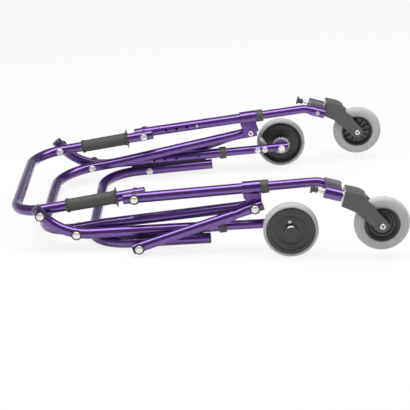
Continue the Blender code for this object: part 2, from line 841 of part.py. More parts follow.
def front_bracket(side, sign):
    """Sleeve round the front leg with two plates that hold the bracket pivot under it."""
    u, v, y = front_leg_point(sleeve_start())
    start = at(u, v, sign * y)
    end = start + leg_direction(sign) * SLEEVE_LENGTH
    bracket = rod("front_bracket_" + side, start, end, TUBE_R + SLEEVE_WALL, COLLAR_SIDES)
    plates = []
    for i, (inner, outer) in enumerate(plate_faces()):
        middle = sign * (inner + outer) / 2
        plates.append(placed_slab(f"plate_{side}_{i}", plate_outline(), outer - inner, middle))
    bracket = joined(bracket, plates)
    run_out = leg_direction(sign) * SLEEVE_LENGTH
    bore = rod("front_bracket_bore_" + side, start - run_out, end + run_out,
               around(TUBE_R, COLLAR_SIDES), COLLAR_SIDES, CUTTERS)
    subtract(bracket, bore)
    width = Vector((0.0, sign, 0.0))
    drill(bracket, "bolt", at(*PIVOT_BRACKET, sign * bracket_y()), width, BOLT_HOLE_R, 0.05)
    give(bracket, "front_leg_" + side, "purple")


def front_collar(side, sign):
    """Plastic sleeve over the front leg's lower end."""
    cover = COLLAR_LENGTH * COLLAR_COVER
    u, v, y = front_leg_point(front_leg_end() - cover)
    place = at(u, v, sign * y)
    collar = turned("front_collar_" + side, collar_profile(cover), place, leg_direction(sign), COLLAR_SIDES)
    give(collar, "front_leg_" + side, "dark_plastic")


# Front lower leg, caster head and swivel lock

def fillet(corner, before, after, radius, steps):
    """Points of an arc that rounds the corner between two directions."""
    turn = before.angle(after)
    start = corner - before * radius * math.tan(turn / 2)
    across = (after - before * after.dot(before)).normalized()
    centre = start + across * radius
    points = []
    for i in range(steps + 1):
        a = turn * i / steps
        points.append(centre - across * radius * math.cos(a) + before * radius * math.sin(a))
    return points


def front_tube_path(sign):
    """Straight inside the leg, then bent down beside the caster's housing."""
    u, v, y = front_leg_point(FRONT_BUTTON_S - FRONT_PITCH - PAST_HOLE)
    start = at(u, v, sign * y)
    u, v, y = front_leg_point(FRONT_CORNER_S)
    corner = at(u, v, sign * y)
    end = corner + stem_direction() * (STEM_BELOW_CORNER + FRONT_TUBE_END)
    return [start] + fillet(corner, leg_direction(sign), stem_direction(), FRONT_BEND_R, 4) + [end]


def front_extension(side, sign):
    lower = tube("front_extension_" + side, front_tube_path(sign), INNER_R, INNER_WALL, (False, True))
    width = Vector((0.0, sign, 0.0))
    for i, shift in enumerate((-1, 0, 1, 2)):
        u, v, y = front_leg_point(FRONT_BUTTON_S + shift * FRONT_PITCH)
        drill(lower, f"hole_{i + 1}", at(u, v, sign * (y - INNER_R)), width, HOLE_R, 0.010, 8)
    give(lower, "front_extension_" + side, "inner_purple")


def stem_side(s, w):
    """(u, v) of a point in the caster's own frame: s down the stem, w square to it."""
    u, v, _ = front_leg_point(FRONT_CORNER_S)
    down = s + STEM_BELOW_CORNER
    over = w + STEM_OVER
    u += down * math.cos(STEM_ANGLE) - over * math.sin(STEM_ANGLE)
    v += down * math.sin(STEM_ANGLE) + over * math.cos(STEM_ANGLE)
    return u, v


def stem_place(s, w, y):
    """World place of a point in the caster's own frame."""
    return at(*stem_side(s, w), y)


def stem_direction():
    return along(math.cos(STEM_ANGLE), math.sin(STEM_ANGLE))


def housing_top():
    return -CROWN_GAP - HOUSING_LENGTH


def stem_top():
    return housing_top() + HOUSING_FLOOR + STEM_TOP_GAP


def web_outline():
    """Rounded block between the saddle and the housing, in the side plane."""
    outline = []
    middle = -CROWN_GAP - HOUSING_LENGTH / 2
    corners = ((1, 1, 0.0), (-1, 1, 90.0), (-1, -1, 180.0), (1, -1, 270.0))
    for run, rise, start in corners:
        centre = (middle + run * WEB_HALF_LENGTH, WEB_RISE + rise * WEB_HALF_WIDTH)
        sweep = (math.radians(start), math.radians(start + 90.0))
        outline += [stem_side(s, w) for s, w in arc(centre, WEB_ROUND, *sweep, 3)]
    return outline


def caster_head(side, sign):
    """Saddle on the lower leg's end joined to the upright housing that the fork's stem turns in."""
    heading = stem_direction()
    tube_end = front_tube_path(sign)[-1]
    tail_end = tube_end + heading * CAP
    tail_start = tail_end - heading * SADDLE_LENGTH
    head = rod("caster_head_" + side, tail_start, tail_end, INNER_R + SADDLE_WALL, COLLAR_SIDES)
    y = sign * CASTER_Y
    top = stem_place(housing_top(), 0.0, y)
    housing = rod("housing_" + side, top, stem_place(-CROWN_GAP, 0.0, y), HOUSING_R, COLLAR_SIDES)
    neck_top = stem_place(housing_top() - PLUNGER_NECK, 0.0, y)
    neck = rod("neck_" + side, neck_top, top + heading * HOUSING_FLOOR / 2, PLUNGER_NECK_R)
    inner = abs(tail_end.y)
    web = placed_slab("web_" + side, web_outline(), CASTER_Y - inner, sign * (CASTER_Y + inner) / 2)
    head = joined(head, [web, housing, neck])
    bore = rod("caster_head_tube_" + side, tail_start - heading * SADDLE_LENGTH, tube_end + heading * GAP,
               around(INNER_R, COLLAR_SIDES), COLLAR_SIDES, CUTTERS)
    subtract(head, bore)
    bore_end = top + heading * HOUSING_FLOOR
    stem_bore = rod("caster_head_stem_" + side, bore_end, stem_place(CROWN_THICK, 0.0, y),
                    around(STEM_R, SMALL_SIDES), SMALL_SIDES, CUTTERS)
    subtract(head, stem_bore)
    lock_bore = rod("caster_head_lock_" + side, neck_top - heading * PLUNGER_NECK,
                    bore_end + heading * STEM_TOP_GAP, around(PLUNGER_R, 8), 8, CUTTERS)
    subtract(head, lock_bore)
    give(head, "front_extension_" + side, "purple")


def swivel_plunger(side, sign):
    """Pull knob in line with the stem: its pin holds the caster straight."""
    low = stem_top() - PLUNGER_PIN_GAP
    foot = low - housing_top() + PLUNGER_NECK + PIVOT_GAP
    rim = foot + PLUNGER_KNOB
    profile = [
        (0.0, rim + PLUNGER_FLANGE),
        (PLUNGER_FLANGE_R - 0.001, rim + PLUNGER_FLANGE),
        (PLUNGER_FLANGE_R, rim + PLUNGER_FLANGE - 0.001),
        (PLUNGER_FLANGE_R, rim + 0.001),
        (PLUNGER_KNOB_R, rim),
        (PLUNGER_KNOB_R, foot + 0.001),
        (PLUNGER_KNOB_R - 0.001, foot),
        (PLUNGER_R, foot),
        (PLUNGER_R, 0.0),
        (0.0, 0.0),
    ]
    place = stem_place(low, 0.0, sign * CASTER_Y)
    knob = turned("swivel_plunger_" + side, profile, place, -stem_direction(), SMALL_SIDES + 2)
    give(knob, "swivel_lock_" + side, "dark_plastic")


def snap_button(name, body, place, sign, radius):
    """Domed button in a hole of the outer tube, its foot just clear of the inner tube."""
    foot = 0.0004
    top = radius - INNER_R + BUTTON_RISE
    profile = [
        (0.0, top),
        (BUTTON_R * 0.6, top - 0.0003),
        (BUTTON_R, top - 0.0012),
        (BUTTON_R, foot),
        (0.0, foot),
    ]
    button = turned(name, profile, place, (0.0, -sign, 0.0), 8)
    give(button, body, "nickel")


# Caster fork and wheels

def fork_outline():
    """Side view of a fork blade in (s, w), crown first, ending round the axle."""
    axle = (AXLE_DROP, -AXLE_TRAIL)
    outline = [(0.0, CROWN_FRONT), (0.018, CROWN_FRONT + 0.001), (0.0335, CROWN_FRONT)]
    outline += [(0.043, 0.017), (0.050, 0.0115)]
    outline += arc(axle, BLADE_END_R, math.radians(57.6), math.radians(-116.0), 6)
    outline += [(0.0494, -0.031), (0.041, -0.026), (0.0326, -0.023)]
    outline += [(0.012, -CROWN_BACK - 0.0015), (0.0, -CROWN_BACK)]
    return outline


def blade(name, sign, offset):
    outline = [stem_side(s, w) for s, w in reversed(fork_outline())]
    return placed_slab(name, outline, BLADE, sign * CASTER_Y + offset)


def caster_fork(side, sign):
    """Two blades under a crown block, with the stem that turns in the housing."""
    y = sign * CASTER_Y
    reach = FORK_GAP / 2 + BLADE / 2
    blades = [blade(f"blade_{side}_{i}", sign, offset) for i, offset in enumerate((-reach, reach))]
    stem = rod("caster_fork_" + side, stem_place(stem_top(), 0.0, y), stem_place(0.004, 0.0, y), STEM_R)
    collar = rod("stem_washer_" + side, stem_place(-CROWN_GAP + 0.0006, 0.0, y),
                 stem_place(0.001, 0.0, y), 0.0115, SMALL_SIDES + 2)
    front = CROWN_FRONT - CROWN_INSET
    back = CROWN_INSET - CROWN_BACK
    corners = ((CROWN_INSET, front), (CROWN_INSET, back), (CROWN_THICK, back), (CROWN_THICK, front))
    crown = [stem_side(s, w) for s, w in corners]
    block = placed_slab("crown_" + side, crown, FORK_GAP + BLADE, y)
    fork = joined(stem, [collar, block] + blades)
    axle = stem_place(AXLE_DROP, -AXLE_TRAIL, y)
    drill(fork, "axle", axle, Vector((0.0, 1.0, 0.0)), AXLE_R + GAP, FORK_GAP + 4 * BLADE)
    give(fork, "caster_fork_" + side, "fork_grey")


def front_axle(side, sign):
    half = FORK_GAP / 2 + BLADE + GAP
    profile = [
        (0.0, half + 0.0045),
        (0.0050, half + 0.0040),
        (0.0065, half + 0.0025),
        (0.0065, half),
        (AXLE_R, half),
        (AXLE_R, -half),
        (0.0065, -half),
        (0.0065, -half - 0.0045),
        (0.0, -half - 0.0045),
    ]
    place = stem_place(AXLE_DROP, -AXLE_TRAIL, sign * CASTER_Y)
    axle = turned("front_axle_" + side, profile, place, (0.0, sign, 0.0))
    give(axle, "caster_fork_" + side, "nickel")


def tyre_profile(rim, half, shape):
    """Ring section of a solid tyre with rounded shoulders, seated on the rim radius."""
    depth = WHEEL_R - rim
    upper = [(rim + depth * share, half * width) for share, width in shape]
    return upper + [(radius, -height) for radius, height in reversed(upper)]


def front_hub_profile(half):
    """Dished hub: deep rim, thin web, long boss round the axle."""
    bore = AXLE_R + RUNNING
    rim = FRONT_RIM_R - GAP
    edge = FRONT_TYRE_W * 0.45
    return [
        (bore, half),
        (0.011, half),
        (0.012, 0.004),
        (rim - 0.004, 0.004),
        (rim - 0.003, edge),
        (rim, edge),
        (rim, -edge),
        (rim - 0.003, -edge),
        (rim - 0.004, -0.004),
        (0.012, -0.004),
        (0.011, -half),
        (bore, -half),
    ]


def front_wheel(side, sign):
    body = "front_wheel_" + side
    place = stem_place(AXLE_DROP, -AXLE_TRAIL, sign * CASTER_Y)
    width = (0.0, sign, 0.0)
    profile = tyre_profile(FRONT_RIM_R, FRONT_TYRE_W / 2, FRONT_TYRE_SHAPE)
    give(turned("front_tyre_" + side, profile, place, width, WHEEL_STEPS), body, "tyre_grey")
    hub = turned("front_hub_" + side, front_hub_profile(FORK_GAP / 2 - PIVOT_GAP), place, width, WHEEL_STEPS)
    give(hub, body, "hub_black")


# Rear lower leg, axle, ratchet and wheel

def rear_point(u, sign, offset=0.0):
    return at(u, REAR_AXLE[1], sign * (rear_leg_y(u) + offset))


def rear_extension(side, sign):
    start = rear_point(REAR_BUTTON_U - REAR_PITCH - PAST_HOLE, sign)
    end = rear_point(REAR_AXLE[0] + 0.018, sign)
    lower = tube("rear_extension_" + side, [start, end], INNER_R, INNER_WALL)
    width = Vector((0.0, sign, 0.0))
    for i, shift in enumerate((-1, 0)):
        u = REAR_BUTTON_U + shift * REAR_PITCH
        drill(lower, f"hole_{i + 1}", rear_point(u, sign, -INNER_R), width, HOLE_R, 0.010, 8)
    drill(lower, "axle", rear_point(REAR_AXLE[0], sign), width, AXLE_R + GAP, 0.05)
    pawl_u = REAR_AXLE[0] - PAWL_BACK
    drill(lower, "pawl", rear_point(pawl_u, sign), width, 0.0024, 0.05, 8)
    give(lower, "rear_extension_" + side, "inner_purple")


def rear_axle(side, sign):
    """Axle bolt: nut inboard of the lower leg, a spacer, and a washer outside the hub."""
    tube_y = rear_leg_y(REAR_AXLE[0])
    inner = tube_y - INNER_R - PIVOT_GAP
    face = tube_y + INNER_R + PIVOT_GAP
    hub_outer = REAR_WHEEL_Y + REAR_TYRE_W / 2 - 0.004
    start = inner - AXLE_NUT - AXLE_END
    profile = [
        (0.0, hub_outer + 0.006),
        (0.0065, hub_outer + 0.006),
        (0.0065, hub_outer + PIVOT_GAP),
        (AXLE_R, hub_outer + PIVOT_GAP),
        (AXLE_R, face + 0.0012),
        (0.0065, face + 0.0012),
        (0.0065, face),
        (AXLE_R, face),
        (AXLE_R, inner),
        (0.0072, inner),
        (0.0072, inner - AXLE_NUT),
        (AXLE_R, inner - AXLE_NUT),
        (AXLE_R, start),
        (0.0, start),
    ]
    profile = [(radius, height - start) for radius, height in profile]
    place = at(*REAR_AXLE, sign * start)
    give(turned("rear_axle_" + side, profile, place, (0.0, sign, 0.0)), "rear_extension_" + side, "nickel")


def ratchet_y():
    """Half width of the ratchet wheel's inner face."""
    return rear_leg_y(REAR_AXLE[0]) + INNER_R + 0.0030


def rear_hub_profile():
    """Rear hub: closed dished cover outside with a centre cap, open boss inside."""
    half = REAR_TYRE_W / 2
    bore = AXLE_R + RUNNING
    rim = REAR_RIM_R - GAP
    step = half - 0.004
    inside = ratchet_y() + RATCHET_THICK + GAP - REAR_WHEEL_Y
    return [
        (0.0, half + 0.004),
        (0.0130, half + 0.004),
        (0.0150, half - 0.001),
        (0.0300, half - 0.003),
        (0.0330, half - 0.001),
        (rim - 0.003, half),
        (rim, half - 0.002),
        (rim, -half * 0.8),
        (rim - 0.004, -half * 0.8),
        (rim - 0.006, 0.000),
        (0.0140, 0.000),
        (0.0120, inside),
        (bore, inside),
        (bore, step),
        (0.0080, step),
        (0.0080, step + 0.0068),
        (0.0, step + 0.0068),
    ]


def ratchet_outline():
    """Saw-tooth outline in polar form: each tooth climbs slowly and drops at once."""
    points = []
    for i in range(RATCHET_TEETH):
        base = 2 * math.pi * i / RATCHET_TEETH
        for share, radius in ((0.0, RATCHET_ROOT_R), (0.45, RATCHET_R), (0.75, RATCHET_R)):
            a = base + share * 2 * math.pi / RATCHET_TEETH
            points.append((radius * math.cos(a), radius * math.sin(a)))
    return points


def rear_wheel(side, sign):
    body = "rear_wheel_" + side
    place = at(*REAR_AXLE, sign * REAR_WHEEL_Y)
    width = (0.0, sign, 0.0)
    profile = tyre_profile(REAR_RIM_R, REAR_TYRE_W / 2, REAR_TYRE_SHAPE)
    give(turned("rear_tyre_" + side, profile, place, width, WHEEL_STEPS), body, "tyre_grey")
    give(turned("rear_hub_" + side, rear_hub_profile(), place, width, WHEEL_STEPS), body, "hub_black")
    outline = [(REAR_AXLE[0] + u, REAR_AXLE[1] + v) for u, v in ratchet_outline()]
    middle = sign * (ratchet_y() + RATCHET_THICK / 2)
    ratchet = placed_slab("ratchet_wheel_" + side, outline, RATCHET_THICK, middle)
    drill(ratchet, "bore", at(*REAR_AXLE, middle), Vector(width), AXLE_R + GAP, 0.02)
    give(ratchet, body, "nickel")


def pawl(side, sign):
    """Lever on the lower leg whose tip points at the ratchet's teeth."""
    pivot = (REAR_AXLE[0] - PAWL_BACK, REAR_AXLE[1])
    tip = REAR_AXLE[0] - RATCHET_R - 0.0008
    half = PAWL_WIDTH / 2
    outline = arc(pivot, half, math.radians(230.0), math.radians(270.0), 2)
    outline += [(tip, pivot[1] - half), (tip, pivot[1] + 0.001), (pivot[0] + 0.008, pivot[1] + half)]
    outline += [(pivot[0] - 0.002, pivot[1] + 0.020), (pivot[0] - 0.010, pivot[1] + 0.020)]
    middle = sign * (ratchet_y() + RATCHET_THICK / 2)
    lever = placed_slab("ratchet_pawl_" + side, outline, RATCHET_THICK, middle)
    inner = rear_leg_y(pivot[0]) - INNER_R - 0.003
    pin = rod("pin_" + side, at(*pivot, sign * inner), at(*pivot, middle), 0.0021, 8)
    lever = joined(lever, [pin])
    give(lever, "ratchet_pawl_" + side, "nickel")


# Telescoping brace

def brace_place(s, sign):
    """World place at the length s from the brace's rear pivot."""
    reach = distance(PIVOT_BRACE, PIVOT_BRACKET)
    angle = side_angle(PIVOT_BRACE, PIVOT_BRACKET)
    y = BRACE_Y_REAR + (BRACE_Y_FRONT - BRACE_Y_REAR) * s / reach
    return at(PIVOT_BRACE[0] + s * math.cos(angle), PIVOT_BRACE[1] + s * math.sin(angle), sign * y)


def brace_tube(side, sign):
    reach = distance(PIVOT_BRACE, PIVOT_BRACKET)
    points = [brace_place(-BRACE_TAIL, sign), brace_place(reach - BRACE_TUBE_END, sign)]
    outer = tube("brace_tube_" + side, points, BRACE_R, BRACE_WALL, (True, False))
    width = Vector((0.0, sign, 0.0))
    drill(outer, "bolt", at(*PIVOT_BRACE, sign * BRACE_Y_REAR), width, BOLT_HOLE_R, 0.04)
    give(outer, "brace_tube_" + side, "purple")


def brace_rod(side, sign):
    """Inner tube that slides out of the brace, with the front pivot's bolt head at its end."""
    reach = distance(PIVOT_BRACE, PIVOT_BRACKET)
    start = reach - BRACE_TUBE_END - BRACE_OVERLAP
    stations = (start, reach - FLAT_REACH - FLAT_BLEND, reach - FLAT_REACH, reach + ROD_TAIL)
    points = [brace_place(s, sign) for s in stations]
    middle = at(*PIVOT_BRACKET, sign * BRACE_Y_FRONT)
    direction = (points[-1] - points[0]).normalized()
    inner = tube("brace_rod_" + side, points, BRACE_ROD_R, BRACE_WALL, (False, True))
    flatten(inner, middle, direction, BRACE_ROD_R)
    head = fixed_head("rod_bolt_" + side, PIVOT_BRACKET, BRACE_Y_FRONT + FLAT_END / 2, sign)
    inner = joined(inner, [head])
    width = Vector((0.0, sign, 0.0))
    face = at(*PIVOT_BRACKET, sign * (BRACE_Y_FRONT - FLAT_END / 2))
    drill(inner, "bolt", face, width, BOLT_HOLE_R, 0.008)
    give(inner, "brace_rod_" + side, "purple")


# Assembly

def add_bodies():
    add_body("rear_frame", at(0.0, 0.0, 0.0))
    add_body("middle_bar", at(*PIVOT_MIDDLE, 0.0), "rear_frame")
    add_body("handle", at(*PIVOT_HANDLE_REAR, 0.0), "rear_frame")
    for side, sign in SIDES.items():
        add_body("front_leg_" + side, at(*PIVOT_BRACKET, sign * bracket_y()), "middle_bar")
        u, v, y = front_leg_point(front_leg_end())
        add_body("front_extension_" + side, at(u, v, sign * y), "front_leg_" + side)
        u, v, y = front_leg_point(FRONT_BUTTON_S)
        add_body("front_button_" + side, at(u, v, sign * (y - INNER_R)), "front_leg_" + side)
        stem = stem_place(0.0, 0.0, sign * CASTER_Y)
        add_body("caster_fork_" + side, stem, "front_extension_" + side)
        add_body("swivel_lock_" + side, stem, "front_extension_" + side)
        axle = stem_place(AXLE_DROP, -AXLE_TRAIL, sign * CASTER_Y)
        add_body("front_wheel_" + side, axle, "caster_fork_" + side)
        add_body("rear_extension_" + side, rear_point(REAR_LEG_END_U, sign), "rear_frame")
        add_body("rear_button_" + side, rear_point(REAR_BUTTON_U, sign, -INNER_R), "rear_frame")
        add_body("rear_wheel_" + side, at(*REAR_AXLE, sign * REAR_WHEEL_Y), "rear_extension_" + side)
        lever = at(REAR_AXLE[0] - PAWL_BACK, REAR_AXLE[1], sign * ratchet_y())
        add_body("ratchet_pawl_" + side, lever, "rear_extension_" + side)
        add_body("brace_tube_" + side, at(*PIVOT_BRACE, sign * BRACE_Y_REAR), "rear_frame")
        rod_end = at(*PIVOT_BRACKET, sign * BRACE_Y_FRONT)
        add_body("brace_rod_" + side, rod_end, "brace_tube_" + side)


def add_side(side, sign):
    rear_leg(side, sign)
    rear_collar(side, sign)
    rear_bolts(side, sign)
    grip(side, sign)
    handle_front_bolt(side, sign)
    bracket_bolt(side, sign)
    front_leg(side, sign)
    front_bracket(side, sign)
    front_collar(side, sign)
    front_extension(side, sign)
    caster_head(side, sign)
    swivel_plunger(side, sign)
    caster_fork(side, sign)
    front_axle(side, sign)
    front_wheel(side, sign)
    rear_extension(side, sign)
    rear_axle(side, sign)
    rear_wheel(side, sign)
    pawl(side, sign)
    brace_tube(side, sign)
    brace_rod(side, sign)
    u, v, y = front_leg_point(FRONT_BUTTON_S)
    place = at(u, v, sign * (y - INNER_R))
    snap_button("front_button_" + side, "front_button_" + side, place, sign, TUBE_R)
    place = rear_point(REAR_BUTTON_U, sign, -INNER_R)
    snap_button("rear_button_" + side, "rear_button_" + side, place, sign, TUBE_R)


def centre_on_floor():
    """Puts the box's bottom centre at the origin by moving the first body's empty."""
    bpy.context.view_layer.update()
    graph = bpy.context.evaluated_depsgraph_get()
    corners = []
    for obj in WALKER.objects:
        if obj.type == "MESH":
            shape = obj.evaluated_get(graph)
            corners += [obj.matrix_world @ vert.co for vert in shape.data.vertices]
    low = Vector([min(c[i] for c in corners) for i in range(3)])
    high = Vector([max(c[i] for c in corners) for i in range(3)])
    root = BODIES["rear_frame"][0]
    root.location -= Vector(((low.x + high.x) / 2, (low.y + high.y) / 2, low.z))


def main():
    add_bodies()
    handle_bar()
    middle_crossbar()
    lower_crossbar()
    for side, sign in SIDES.items():
        add_side(side, sign)
    centre_on_floor()


main()
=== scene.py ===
import json
import math

import bmesh
import bpy
import numpy as np
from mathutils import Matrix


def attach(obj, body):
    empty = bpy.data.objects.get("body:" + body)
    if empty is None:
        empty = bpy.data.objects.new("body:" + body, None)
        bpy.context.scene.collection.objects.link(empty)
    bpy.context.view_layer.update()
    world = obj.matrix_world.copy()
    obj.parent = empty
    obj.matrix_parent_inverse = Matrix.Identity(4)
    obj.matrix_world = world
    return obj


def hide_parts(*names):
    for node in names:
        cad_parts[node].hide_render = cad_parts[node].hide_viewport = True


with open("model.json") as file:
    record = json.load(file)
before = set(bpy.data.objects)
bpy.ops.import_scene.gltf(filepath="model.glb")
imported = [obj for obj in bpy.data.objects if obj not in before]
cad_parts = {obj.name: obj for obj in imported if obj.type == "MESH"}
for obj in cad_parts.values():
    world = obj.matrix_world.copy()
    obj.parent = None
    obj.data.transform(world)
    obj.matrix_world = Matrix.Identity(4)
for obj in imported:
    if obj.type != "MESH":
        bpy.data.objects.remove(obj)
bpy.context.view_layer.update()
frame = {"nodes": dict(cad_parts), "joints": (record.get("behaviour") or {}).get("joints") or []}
print("frame loaded:", len(frame["nodes"]), "nodes")

sideNames = {0: "", 1: "left", -1: "right"}
widthWay = np.array((0.0, 1.0, 0.0))

# Each kind of tube: outer radius, wall and facets round it
tubes = {"frame": (0.0127, 0.0014, 48), "inner": (0.0110, 0.0015, 44),
         "brace": (0.0122, 0.0014, 48), "rod": (0.0105, 0.0014, 44)}
tubeRadius, innerRadius = tubes["frame"][0], tubes["inner"][0]
clearance, pivotGap = 0.0003, 0.0008

# The folded walker's side plane: u runs down the rear legs, v forward of them
sidePlane = {"tyreRadius": 0.0635, "rearAxleU": 0.4977, "barSpacing": 0.0280, "barCornerU": 0.0280}
pivots = {"handleRear": (-0.0791, 0.0568), "handleFront": (0.1425, 0.0787), "middle": (0.0, 0.0039),
          "bracket": (0.4198, 0.0484), "brace": (0.1457, -0.0280)}
rearAxleU, barSpacing = sidePlane["rearAxleU"], sidePlane["barSpacing"]

axleReach = (rearAxleU - sidePlane["barCornerU"], barSpacing)
axleLift = sidePlane["tyreRadius"] - tubeRadius
tilt = math.asin(axleLift / math.hypot(*axleReach)) - math.atan2(*axleReach[::-1])
foldPivot = next(j["pos_m"] for j in frame["joints"] if j["name"] == "middle_bar_fold")
originX = foldPivot[0] + pivots["middle"][1] * math.sin(tilt)
originZ = foldPivot[2] - pivots["middle"][1] * math.cos(tilt)


# World points of side-plane points (u, v) at the width y: a turn by the tilt, then a shift
def sidePoints(u, v, y):
    u, v, y = np.broadcast_arrays(u, v, y)
    x = originX + u * math.cos(tilt) - v * math.sin(tilt)
    z = originZ + u * math.sin(tilt) + v * math.cos(tilt)
    return np.stack((x, y, z), axis=-1)


def unit(vectors):
    return vectors / np.maximum(np.linalg.norm(vectors, axis=-1, keepdims=True), 1e-12)


def sideWay(du, dv, dy=0.0):
    return unit(sidePoints(du, dv, dy) - sidePoints(0.0, 0.0, 0.0))


# Cosine and sine of the line from one pivot to another
def headingOf(first, second):
    angle = math.atan2(second[1] - first[1], second[0] - first[0])
    return math.cos(angle), math.sin(angle)


# Quads of a grid whose columns close on themselves, and whose rows do too where loop is set
def gridQuads(rows, columns, loop=False):
    row = np.arange(rows if loop else rows - 1)[:, None]
    column = np.arange(columns)[None, :]
    nextRow = (row + 1) % rows
    nextColumn = (column + 1) % columns
    corners = (row * columns + column, row * columns + nextColumn,
               nextRow * columns + nextColumn, nextRow * columns + column)
    return np.stack(np.broadcast_arrays(*corners), axis=-1).reshape(-1, 4)


# A stack of closed outlines with its first and last one filled
def cappedStack(points):
    rows, columns = points.shape[:2]
    caps = [np.arange(columns)[None] + row * columns for row in (0, rows - 1)]
    return points.reshape(-1, 3), [gridQuads(rows, columns)] + caps


# A flat line with its corners rounded: near each corner the line follows a parabola between two points
# that lie the radius away from it, or less where a side is short
def roundedLine(points, radius, closed=True, steps=6):
    line = np.asarray(points, float)
    reach = np.broadcast_to(np.asarray(radius, float), (len(line),)).copy()
    if not closed:
        reach[[0, -1]] = 0.0
    back = np.roll(line, 1, axis=0) - line
    ahead = np.roll(line, -1, axis=0) - line
    shortest = np.minimum(np.linalg.norm(back, axis=1), np.linalg.norm(ahead, axis=1))
    reach = np.minimum(reach, 0.48 * shortest)[:, None]
    first = (line + unit(back) * reach)[:, None]
    last = (line + unit(ahead) * reach)[:, None]
    t = np.linspace(0.0, 1.0, steps)[None, :, None]
    curve = ((1 - t) ** 2 * first + 2 * t * (1 - t) * line[:, None] + t ** 2 * last).reshape(-1, 2)
    keep = np.linalg.norm(curve - np.roll(curve, 1, axis=0), axis=1) > 1e-7
    keep[0] = keep[0] or not closed
    return curve[keep]


# A flat arc: points at one radius round a centre, at even angles in degrees
def arcLine(centre, radius, start, end, steps):
    angle = np.radians(np.linspace(start, end, steps + 1))
    return np.stack((centre[0] + radius * np.cos(angle), centre[1] + radius * np.sin(angle)), axis=-1)


# A round tube: circles of the outer radius along the path and back again at the bore's radius, each set
# square to the path; squeeze scales it in width and swell in height, row by row
def tubeShell(path, kind, across=widthWay, squeeze=1.0, swell=1.0):
    radius, wall, facets = tubes[kind]
    lip = 0.0005  # bevel at both ends
    way = unit(np.gradient(path, axis=0))
    last = len(path) - 1
    pick = np.concatenate(([0], np.arange(last + 1), [last]))
    squeeze, swell = (np.broadcast_to(scale, (last + 1,))[pick] for scale in (squeeze, swell))
    shift = np.zeros(len(pick))
    shift[1], shift[-2] = lip, -lip
    path, way = path[pick] + way[pick] * shift[:, None], way[pick]
    over = unit(np.cross(way, across))
    angle = 2 * np.pi * np.arange(facets)[:, None] / facets
    ring = np.cos(angle) * np.cross(over, way)[:, None] + np.sin(angle) * over[:, None]
    radii = np.full(len(pick), radius)
    radii[[0, -1]] -= lip * 0.7
    scale = np.stack((swell, squeeze, swell), axis=-1)[:, None]
    outer = path[:, None] + ring * radii[:, None, None] * scale
    inner = path[:, None] + ring * (radius - wall) * scale
    points = np.concatenate((outer, inner[::-1]))
    return points.reshape(-1, 3), [gridQuads(len(points), facets, loop=True)]


# A turned shape: the profile (radius, height) carried round an axis; swell and rise add to the radius and
# to the height at each row and angle
def turnedShell(profile, start, way, steps=40, swell=0.0, rise=0.0):
    profile = np.asarray(profile, float)
    axis = unit(np.asarray(way, float))
    reference = (0.0, 0.0, 1.0) if abs(axis[2]) < 0.9 else (1.0, 0.0, 0.0)
    right = unit(np.cross(reference, axis))
    angle = 2 * np.pi * np.arange(steps) / steps
    ring = np.cos(angle)[:, None] * np.cross(axis, right) + np.sin(angle)[:, None] * right
    poled = profile[0, 0] == 0.0
    body = profile[1:-1] if poled else profile
    radii, heights, _ = np.broadcast_arrays(body[:, :1] + swell, body[:, 1:] + rise, angle)
    points = (np.asarray(start) + heights[..., None] * axis + radii[..., None] * ring).reshape(-1, 3)
    faces = [gridQuads(len(body), steps, loop=not poled)]
    if poled:
        poles = np.asarray(start) + profile[[0, -1], 1][:, None] * axis
        index = np.arange(steps)
        following = (index + 1) % steps
        last = (len(body) - 1) * steps
        faces.append(np.stack((np.full(steps, len(points)), following, index), axis=-1))
        faces.append(np.stack((np.full(steps, len(points) + 1), last + index, last + following), axis=-1))
        points = np.concatenate((points, poles))
    return points, faces


# A shape turned about the line across the walker through a pivot; way is 1 or -1
def spun(profile, pivot, way, steps=40):
    return turnedShell(profile, sidePoints(*pivot, 0.0), widthWay * way, steps)


# A flat plate: its outline at each width, drawn in towards both faces by a quarter circle
def plateShell(outline, low, high, edge, steps=4, place=sidePoints):
    line = np.asarray(outline, float)
    following = np.roll(line, -1, axis=0)
    run = following - np.roll(line, 1, axis=0)
    inward = unit(np.stack((-run[:, 1], run[:, 0]), axis=-1))
    if np.sum(line[:, 0] * following[:, 1] - following[:, 0] * line[:, 1]) < 0:
        inward = -inward
    angle = np.linspace(0.0, np.pi / 2, steps)
    inset = edge * (1 - np.sin(angle))
    depth = edge * (1 - np.cos(angle))
    inset = np.concatenate((inset, inset[::-1]))
    width = np.concatenate((low + depth, high - depth[::-1]))
    flat = line + inward * inset[:, None, None]
    return cappedStack(place(flat[..., 0], flat[..., 1], width[:, None]))


# Several shells as one mesh, with its faces turned outwards and its edges sharp past the crease angle
def buildMesh(name, shells, crease=34.0):
    points, faces, start = [], [], 0
    for shellPoints, shellFaces in shells:
        points.append(shellPoints)
        for block in shellFaces:
            faces += (block + start).tolist()
        start += len(shellPoints)
    mesh = bpy.data.meshes.new(name)
    mesh.from_pydata(np.concatenate(points).tolist(), [], faces)
    shape = bmesh.new()
    shape.from_mesh(mesh)
    bmesh.ops.recalc_face_normals(shape, faces=shape.faces)
    shape.to_mesh(mesh)
    shape.free()
    mesh.shade_smooth()
    mesh.set_sharp_from_angle(angle=math.radians(crease))
    obj = bpy.data.objects.new(name, mesh)
    bpy.context.scene.collection.objects.link(obj)
    return obj


